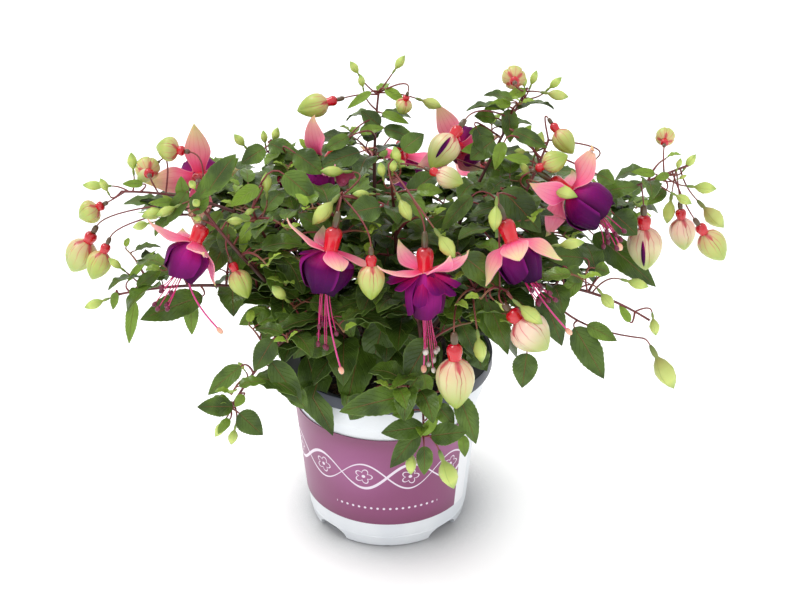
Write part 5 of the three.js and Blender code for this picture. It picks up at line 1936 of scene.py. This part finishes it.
@dataclass(frozen=True)
class Flower:
    """One open flower, measured along its axis from the end of its stalk.

    Each of its four sepals has its angle off that axis at its root and at its tip. Its anthers and
    its stigma stand where the photograph shows them, or hang below the mouth where it does not.
    """

    name: str
    cane: str
    top: Triple
    mouth: Triple
    spin: float
    sepals: tuple[Pair, ...] = ((80.0, 94.0), (86.0, 100.0), (78.0, 90.0), (84.0, 96.0))
    corolla: Corolla = Corolla()
    anthers: Triple | None = None
    stigma: Triple | None = None
    pollen: bool = False
    shown: bool = True
    lime: float = 0.4
    tube_end: float = 24.0
    sepal: float = 29.0
    sepal_width: float = 14.5
    twist: float = 0.0
    ovary_form: Profile = (
        (0.0, 0.0), (1.0, 0.05), (1.6, 1.4), (2.0, 3.6), (2.1, 6.0), (1.95, 8.2), (1.7, 10.0), (0.0, 10.2))
    tube_form: Profile = (
        (0.0, 9.8), (2.0, 9.9), (3.4, 10.4), (4.6, 11.6), (5.15, 13.4), (5.1, 15.4), (4.8, 17.6), (4.5, 19.8),
        (4.3, 21.9), (4.5, 23.4), (4.3, 24.4), (0.0, 24.6))
    stigma_form: Profile = (
        (0.0, 0.0), (0.7, 0.1), (1.4, 0.9), (1.7, 2.1), (1.6, 3.4), (1.0, 4.6), (0.0, 5.0))

    def frame(self) -> Matrix:
        """The flower's frame: its third axis runs from the stalk to the corolla's mouth."""
        return axis_frame(Vector(self.top), Vector(self.mouth), self.spin * math.pi / 2)

    def at(self, along: float) -> Vector:
        """The place on its axis so far from the end of its stalk."""
        return self.frame() @ Vector((0.0, 0.0, along))

    def draw(self, number: float) -> float:
        """A repeatable value between -1 and 1 for this flower."""
        return jitter(self.top[0] + 0.37 * self.top[2], number)

    def station(self, place: Vector, compass: float, angle: float, roll: float = 0.0) -> Station:
        """A station of a blade that leans off the axis, turned about its own spine.

        Args:
            place: the place, in the flower's own frame.
            compass: the side of the axis that the blade is on.
            angle: how far it leans off the axis there.
            roll: its turn about its spine.

        Returns:
            The station, in the object's frame.
        """
        turn = self.frame()
        side = around(compass + math.pi / 2, 1.0, 0.0)
        normal = around(compass, math.cos(angle), -math.sin(angle))
        spun = turn.to_3x3() @ Matrix.Rotation(roll, 3, around(compass, math.sin(angle), math.cos(angle)))
        return Station(turn @ place, spun @ side, spun @ normal)

    def piece(self, stock: Stock, kind: str, materials: list[Material], part: str, thickness: float = 0.0,
              sharp: float = 48.0) -> None:
        """Makes one piece of the flower.

        Args:
            stock: what it is made of.
            kind: what it is, which starts its name.
            materials: its materials.
            part: calyx or corolla, the node that it stands for; it is also handed on as a slot, which is not
                used.
            thickness: the wall that a sheet is given.
            sharp: edges that turn by more than this angle stay sharp.
        """
        stock.object(kind + "_" + self.name, materials, part, [part + "_" + self.name], thickness, sharp)

    def tube(self, paint: Paint) -> None:
        """The ovary and the red tube, domed at the ovary and narrower at the sepals."""
        stock = Stock()
        for index, form in enumerate((self.ovary_form, self.tube_form)):
            part = turned([(radius, along * self.tube_end / 24.0) for radius, along in form], 28)
            bmesh.ops.transform(part, matrix=self.frame(), verts=part.verts)
            stock.take(part, 0.5, index)
        self.piece(stock, "tube", paint("ovary", "tube"), "calyx", sharp=70.0)

    def sepal_spine(self, number: int, rows: int) -> list[Station]:
        """The spine of one sepal, from the tube's end out to its tip, which curls a little."""
        towards = self.frame().to_3x3().inverted() @ (Vector(VIEW.place) - Vector(self.top)).normalized()
        compass = math.pi / 4 + number * math.pi / 2 + 0.1 * self.draw(number + 40)
        side = around(compass + math.pi / 2, 1.0, 0.0)
        out, along = 3.9, self.tube_end - 0.7
        stations = []
        for row in range(rows + 1):
            share = row / rows
            angle = math.radians(mix(*self.sepals[number], smooth(share)) + 24 * smooth((share - 0.8) / 0.2))
            if row:
                along += math.cos(angle) * self.sepal / rows
                out += math.sin(angle) * self.sepal / rows
            normal = around(compass, math.cos(angle), -math.sin(angle))
            off = (math.atan2(towards.dot(side), towards.dot(normal)) + math.pi / 2) % math.pi - math.pi / 2
            roll = self.twist * off * smooth(share * 2) + 0.2 * self.draw(number + 45) * share
            stations.append(self.station(around(compass, out, along), compass, angle, roll))
        return stations

    def calyx(self, form: BladeForm, paint: Paint) -> None:
        """The four sepals."""
        stock = Stock()
        for number in range(4):
            half = self.sepal_width / 2 * (1 + 0.06 * self.draw(number + 20))
            tint = clamp(self.lime + 0.3 * self.draw(number + 25), 0.0, 1.0)
            form.lay(stock, self.sepal_spine(number, form.rows), half, -0.22 + 0.2 * self.draw(number + 30),
                     tint, 0.6, self.draw(number + 50), 1.2)
        self.piece(stock, "sepals", paint("sepal_outer", "sepal_inner"), "calyx", 0.7)

    def cup(self, form: Form, paint: Paint) -> None:
        """Four broad petals, each over one neighbour and under the other, round at their ends."""
        stock = Stock()
        spot = self.frame()
        shape = self.corolla
        for number in range(4):
            base = number * math.pi / 2 + 0.1 * self.draw(number + 60)
            phase = self.draw(number + 70)
            size = 1 + 0.07 * self.draw(number + 72)

            def place(flat: Vector, base: float = base, phase: float = phase, size: float = size) -> Vector:
                """A vertex of the flat petal, wrapped round the axis."""
                aside, share = flat.x, (flat.y + 1) / 2
                drop = shape.lobe * (1 - math.sqrt(max(1 - (0.98 * aside) ** 2, 0.0)))
                along = share * (shape.length + 1.6 * phase - drop)
                out = shape.out(aside, along / shape.length, phase, size)
                compass = base + math.radians(shape.reach) * aside
                return spot @ around(compass, max(out, 2.6), self.tube_end + 0.5 + along)

            stock.add(form, place, clamp(shape.warmth + 0.45 * self.draw(number + 75), 0.0, 1.0))
        self.piece(stock, "petals", paint("petal", "petal"), "corolla", 0.45)

    def outer_petals(self, form: BladeForm, paint: Paint) -> None:
        """Short petals that stand out from the root of the cup, folded along their middles."""
        shape = self.corolla
        stock = Stock()
        for number in range(shape.outer):
            compass = FULL_TURN * (number + 0.3 * self.draw(number + 80)) / shape.outer + 0.4
            length = shape.outer_length * (1 + 0.16 * self.draw(number + 90))
            lean = mix(*shape.lean, 0.5 + 0.5 * self.draw(number + 100))
            point = around(compass, 3.6, self.tube_end + 0.9)
            stations = []
            for row in range(form.rows + 1):
                share = row / form.rows
                angle = math.radians(lean + 16 * math.sin(math.pi * share) - 12 * share)
                if row:
                    point = point + around(compass, math.sin(angle), math.cos(angle)) * (length / form.rows)
                stations.append(self.station(point, compass, angle))
            half = shape.outer_half * (1 + 0.15 * self.draw(number + 95))
            fold = shape.fold * (1 + 0.5 * self.draw(number + 97))
            tint = clamp(0.5 + 0.5 * self.draw(number), 0.0, 1.0)
            form.lay(stock, stations, half, fold, tint, 0.5, self.draw(number), 1.0)
        if shape.outer:
            self.piece(stock, "outer_petals", paint("skirt", "petal"), "corolla", 0.45)

    def threads(self, anther: Form, paint: Paint) -> None:
        """Eight filaments with their anthers, and the pistil with its stigma, all out of the cup's mouth."""
        stamens, dust, style = Stock(), Stock(), Stock()
        spot = self.frame()
        spun = spot.to_3x3()
        axis = spun @ UP
        gate = self.at(self.tube_end + self.corolla.length)
        heads = Vector(self.anthers) if self.anthers else gate + axis * 15 - UP * 4
        knob = Vector(self.stigma) if self.stigma else gate + axis * 32 - UP * 7
        for number in range(8):
            compass = FULL_TURN * number / 8 + 0.5
            start = spot @ around(compass, 1.6, self.tube_end + 6.0)
            bend = gate + spun @ around(compass, 2.2, 2.0)
            end = heads + spun @ around(compass + 0.3 * self.draw(number + 125),
                                        5 + 2.4 * self.draw(number + 130), 8 * self.draw(number + 120))
            path = arch_points(start, bend, end, 12)
            stamens.sweep(path, run(0.32, 0.32, 12), 6, 0.5)
            perch = path_end(path, 0.5, 3.4, number)
            dust.add(anther, lambda flat, perch=perch: perch @ flat, 0.5)
        path = arch_points(self.at(self.tube_end + 5.0), gate + axis * 6, knob, 12)
        style.sweep(path, run(0.56, 0.56, 12), 8, 0.5)
        part = turned(self.stigma_form, 16)
        lobed(part, 0.14, lambda along: smooth(along / 2.5))
        bmesh.ops.transform(part, matrix=path_end(path, 0.6, 4.4, 0.3), verts=part.verts)
        style.take(part, 0.5, 1)
        self.piece(stamens, "filaments", paint("filament"), "calyx")
        dust.object("anthers_" + self.name, paint("pollen" if self.pollen else "anther"), "calyx", sharp=80.0)
        self.piece(style, "pistil", paint("pistil", "stigma"), "calyx", sharp=80.0)


def path_end(path: Sequence[Vector], back: float, length: float, spin: float) -> Matrix:
    """The frame of what stands at the end of a thread.

    Args:
        path: the thread.
        back: how far back on it the frame starts.
        length: how far past its end the frame's far end is.
        spin: its turn about the thread, in radians.

    Returns:
        The frame.
    """
    ahead = (path[-1] - path[-2]).normalized()
    return axis_frame(path[-1] - ahead * back, path[-1] + ahead * length, spin)


FLOWERS = (
    Flower("left_front", "left_front", (-106, -55, 251), (-125, -69, 214), 0.35,
           ((78, 96), (88, 92), (82, 92), (58, 24)), Corolla(12.4, 22.5, 0.4, 0.66, 0.5, 0),
           (-133, -78, 206), (-101, -84, 188), lime=0.15, tube_end=19.5, twist=0.1),
    Flower("centre_left", "centre_left", (-27, -78, 262), (-38, -88, 211), 0.4,
           ((86, 78), (112, 122), (98, 100), (84, 66)),
           Corolla(14.4, 24.5, 0.34, 0.46, 0.12, 3, 15.0, 7.5, (56.0, 74.0)),
           (-37, -92, 187), (-27, -98, 169), lime=0.55),
    Flower("centre", "centre", (23, -84, 252), (24, -92, 195), 0.15,
           ((104, 138), (92, 112), (98, 122), (92, 108)),
           Corolla(11.0, 26.0, 0.5, 0.78, 0.45, 11, 20.0, 4.8, (34.0, 84.0), -0.5),
           (27, -98, 176), (23, -98, 170), True, lime=0.35),
    Flower("right_front", "right_mid", (66, -72, 264), (83, -86, 221), 0.5,
           ((86, 60), (70, 16), (58, 30), (62, 24)), Corolla(11.8, 24.0, 0.4, 0.66, 0.1, outer=0),
           (91, -94, 217), (107, -98, 195), lime=0.75, sepal_width=17.0, twist=0.3),
    Flower("right_high", "right_mid", (92, -32, 269), (128, -40, 246), 0.6,
           ((128, 158), (80, 70), (84, 96), (94, 104)),
           Corolla(13.4, 26.0, 0.45, 0.72, 0.1, 3, 18.0, 7.5, (24.0, 40.0)),
           (137, -50, 234), (142, -52, 229), lime=0.35, twist=0.85, sepal=31.0),
    Flower("left_high", "left_high", (-119, -8, 251), (-124, 38, 240), 0.25,
           ((84, 92), (90, 86), (88, 92), (60, 20)), lime=1.0, twist=0.3, sepal=32.0,
           sepal_width=17.0),
    Flower("top_left", "top_centre", (-22, 12, 277), (-49, 0, 247), 0.5,
           ((80, 94), (110, 140), (78, 90), (84, 96)), Corolla(warmth=0.8), shown=False, twist=0.85),
    Flower("top_right", "top_right", (38, 8, 266), (54, 46, 256), 0.85,
           ((44, 14), (84, 96), (86, 100), (50, 20)), twist=0.6),
    Flower("back_left", "back_left", (-70, 102, 232), (-74, 116, 192), 0.3, shown=False),
    Flower("back_right", "back_right", (68, 102, 230), (68, 116, 190), 0.1,
           corolla=Corolla(warmth=0.6, outer=0), shown=False),
    Flower("back_middle", "back_middle", (10, 120, 240), (11, 134, 200), 0.6, corolla=Corolla(outer=5),
           shown=False),
)


@dataclass
class FlowerHeads:
    """Every open flower, from shared outlines."""

    sepal: BladeForm = field(init=False)
    outer: BladeForm = field(init=False)
    sheet: Form = field(init=False)
    anther: Form = field(init=False)
    anther_form: Profile = ((0.0, 0.0), (0.8, 0.2), (1.35, 1.1), (1.4, 2.2), (1.0, 3.3), (0.0, 3.9))

    def __post_init__(self) -> None:
        """Draws the outlines of sepal, outer petal, cup petal and anther."""
        self.sepal = BladeForm("sepal_form", 18, 8, sepal_outline)
        self.outer = BladeForm("outer_petal_form", 12, 8, petal_outline)
        self.sheet = as_mesh(grid(24, 18), "petal_sheet")
        self.anther = as_mesh(turned(self.anther_form, 8), "anther_form")

    def build(self, paint: Paint) -> None:
        """Builds the flowers."""
        for flower in FLOWERS:
            flower.tube(paint)
            flower.calyx(self.sepal, paint)
            flower.cup(self.sheet, paint)
            flower.outer_petals(self.outer, paint)
            flower.threads(self.anther, paint)


# ---- The plant ----


# Between these pixels the photograph shows open air, so many pixels to each side.
OPEN_AIR = (
    ((642, 134), (652, 150), 9), ((338, 90), (346, 78), 7), ((312, 124), (322, 116), 6),
    ((255, 120), (285, 106), 8), ((303, 132), (316, 124), 6), ((420, 122), (444, 112), 7),
    ((608, 170), (632, 158), 7), ((612, 262), (640, 285), 7), ((612, 296), (632, 290), 9),
    ((232, 310), (240, 345), 7), ((206, 332), (240, 326), 7), ((188, 390), (206, 380), 7),
    ((268, 398), (284, 404), 6),
)


def showpieces() -> tuple[Shown, ...]:
    """What the photograph shows whole, which no leaf but its own may stand before, and open air."""
    found = [Shown(start, end, half, math.inf) for start, end, half in OPEN_AIR]
    for flower in FLOWERS:
        if flower.shown:
            root = flower.at(flower.tube_end)
            mouth = flower.at(flower.tube_end + flower.corolla.length)
            found += [shown(Vector(flower.top), root, 8.0), shown(root, mouth, 22.0)]
            found += [shown(root, flower.sepal_spine(number, 6)[-1].point, 9.0) for number in range(4)]
            if flower.anthers:
                found += [shown(mouth, Vector(flower.anthers), 9.0), shown(mouth, Vector(flower.stigma), 3.0)]
    for bud in LARGE_BUDS:
        top, tip = Vector(bud.top), Vector(bud.tip)
        found += [shown(top, tip, 6.0), shown(mix(top, tip, 0.55), mix(top, tip, 0.75), 16.0)]
    for bud in (bud for buds in GREEN_BUDS.values() for bud in buds):
        if bud.number < FIRST_HIDDEN:
            found.append(shown(*bud.ends(), 11.0 if bud.ripeness >= RIPE else 6.0))
    return tuple(found)


@dataclass
class Plant:
    """All the canes with what grows on them."""

    foliage: Foliage = field(default_factory=lambda: Foliage(showpieces()))
    buds: GreenBuds = field(default_factory=GreenBuds)
    stalk: Stalk = field(default_factory=Stalk)
    steps: int = 26

    def build(self, paint: Paint) -> None:
        """Builds each cane as a stem, its leaves and its green buds, and then the flowers and large buds."""
        for index, cane in enumerate(CANES):
            growth = Growth(cane, index)
            self.stem(growth)
            self.foliage.pairs(growth)
            self.foliage.shoots(growth)
            self.foliage.skirt(growth)
            self.foliage.seen(growth)
            self.bear(growth)
            nodes = ["cane_" + cane.name]
            growth.stems.object("stem_" + cane.name, paint("stem"), "foliage", nodes, sharp=80.0)
            growth.leaves.object("leaves_" + cane.name, paint("leaf_upper", "leaf_under"), "foliage", nodes,
                                 self.foliage.thickness)
            if len(growth.buds.mesh.verts):
                skins = paint("green_bud", "ovary", "tube", "large_bud")
                growth.buds.object("green_buds_" + cane.name, skins, "foliage", sharp=80.0)
        for bud in LARGE_BUDS:
            bud.build(paint)
        FlowerHeads().build(paint)

    def stem(self, growth: Growth) -> None:
        """The cane itself, a little thicker where each leaf pair leaves it."""
        cane = growth.cane
        path = [cane.root(), *(cane.at(share) for share in run(0.0, 1.0, self.steps))]
        radii = []
        for share in run(0.0, 1.0, len(path) - 1):
            knot = 0.16 * max(math.cos(FULL_TURN * share * cane.pairs * 2), 0.0) ** 12
            radii.append(mix(1.9, 0.7, share) * (1 + knot))
        growth.stems.sweep(path, radii, 10, run(0.05, 0.5, len(path) - 1))
        twig = cane.twig_line()
        if twig:
            growth.stems.sweep(twig, run(0.9, 0.5, len(twig))[:-1], 7, 0.5)

    def bear(self, growth: Growth) -> None:
        """The stalks of everything that the cane bears, and its green buds."""
        for item in (*FLOWERS, *LARGE_BUDS):
            if item.cane == growth.cane.name:
                end = item.mouth if isinstance(item, Flower) else item.tip
                place = item.leaves_at if isinstance(item, LargeBud) else None
                self.stalk.grow(growth, Vector(item.top), Vector(end), leaves_at=place)
        for bud in GREEN_BUDS.get(growth.cane.name, ()):
            self.buds.grow(growth, self.stalk, bud)


# ---- The studio ----


@dataclass
class Studio:
    """A pale floor, soft lights and the photograph's camera."""

    floor_size: float = 6.0
    # The glow is painted light, and the shade colour, its reach and its lean set a painted shadow round the
    # foot.
    floor_glow: float = 0.34
    pale: Triple = (250, 250, 250)
    shade: Triple = (196, 196, 198)
    painted_shade_reach: float = 0.075
    painted_shade_lean: Triple = (-0.1, -0.04, 0.99)
    daylight: float = 0.92

    def camera(self) -> None:
        """Stands the camera where the photograph's stood."""
        data = bpy.data.cameras.new("camera")
        data.sensor_width = VIEW.sensor
        data.lens = VIEW.focal / VIEW.width * VIEW.sensor
        data.clip_start = 0.05
        camera = placed("camera", data)
        camera.location = Vector(VIEW.place) * METRE
        camera.rotation_euler = (math.radians(90 - VIEW.pitch), 0.0, 0.0)
        bpy.context.scene.camera = camera

    def floor(self) -> None:
        """Lays the pale floor, which glows as painted light and has a painted shadow close to the foot."""
        part = bmesh.new()
        bmesh.ops.create_grid(part, x_segments=2, y_segments=2, size=self.floor_size)
        floor = placed("studio_floor", as_mesh(part, "studio_floor"))
        graph = Graph("floor_paint")
        lean = graph.node("CombineXYZ", "Vector", dict(zip("XYZ", self.painted_shade_lean)))
        reach = {"Distance": self.painted_shade_reach, "Normal": lean}
        # Painted shadow: an occlusion node darkens the colour and dims the glow close to the pot.
        light = graph.spread(graph.node("AmbientOcclusion", "AO", reach, samples=16), 0.45, 0.95)
        floor.data.materials.append(graph.finish(
            graph.layers(self.shade, (light, self.pale)), roughness=0.9, specular_ior_level=0.1,
            emission_strength=light * self.floor_glow))

    def sun(self, name: str, compass: float, elevation: float, strength: float, width: float) -> None:
        """Hangs one wide, soft sun.

        Args:
            name: its name.
            compass: the side that it shines from, in degrees.
            elevation: its height over the floor, in degrees.
            strength: its strength.
            width: how wide it is, in degrees.
        """
        data = bpy.data.lights.new(name, "SUN")
        data.energy = strength
        data.angle = math.radians(width)
        lamp = placed(name, data)
        towards = heading(math.radians(compass), math.radians(elevation))
        lamp.location = towards * 2.0
        lamp.rotation_euler = towards.to_track_quat("Z", "Y").to_euler()

    def build(self) -> None:
        """Sets the whole studio."""
        self.camera()
        self.floor()
        self.sun("key_light", 160.0, 62.0, 1.25, 24.0)
        self.sun("fill_light", 262.0, 42.0, 0.2, 60.0)
        world = bpy.data.worlds.new("studio_world")
        world.use_nodes = True
        backdrop = world.node_tree.nodes["Background"]
        backdrop.inputs["Color"].default_value = (1.0, 1.0, 1.0, 1.0)
        backdrop.inputs["Strength"].default_value = self.daylight
        bpy.context.scene.world = world
        bpy.context.scene.view_settings.view_transform = "Standard"


def main() -> None:
    """Builds the object and its studio, piece by piece."""
    logging.basicConfig(level=logging.INFO, format="%(name)s %(message)s")
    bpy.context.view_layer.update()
    pot = Pot()
    wrap = Wrap(pot)
    paint = Paint(wrap.finish())
    pot.build(paint)
    wrap.build(paint)
    Bowl().build(paint)
    Ground().build(paint)
    Plant().build(paint)
    Studio().build()


if __name__ == "__main__":
    main()
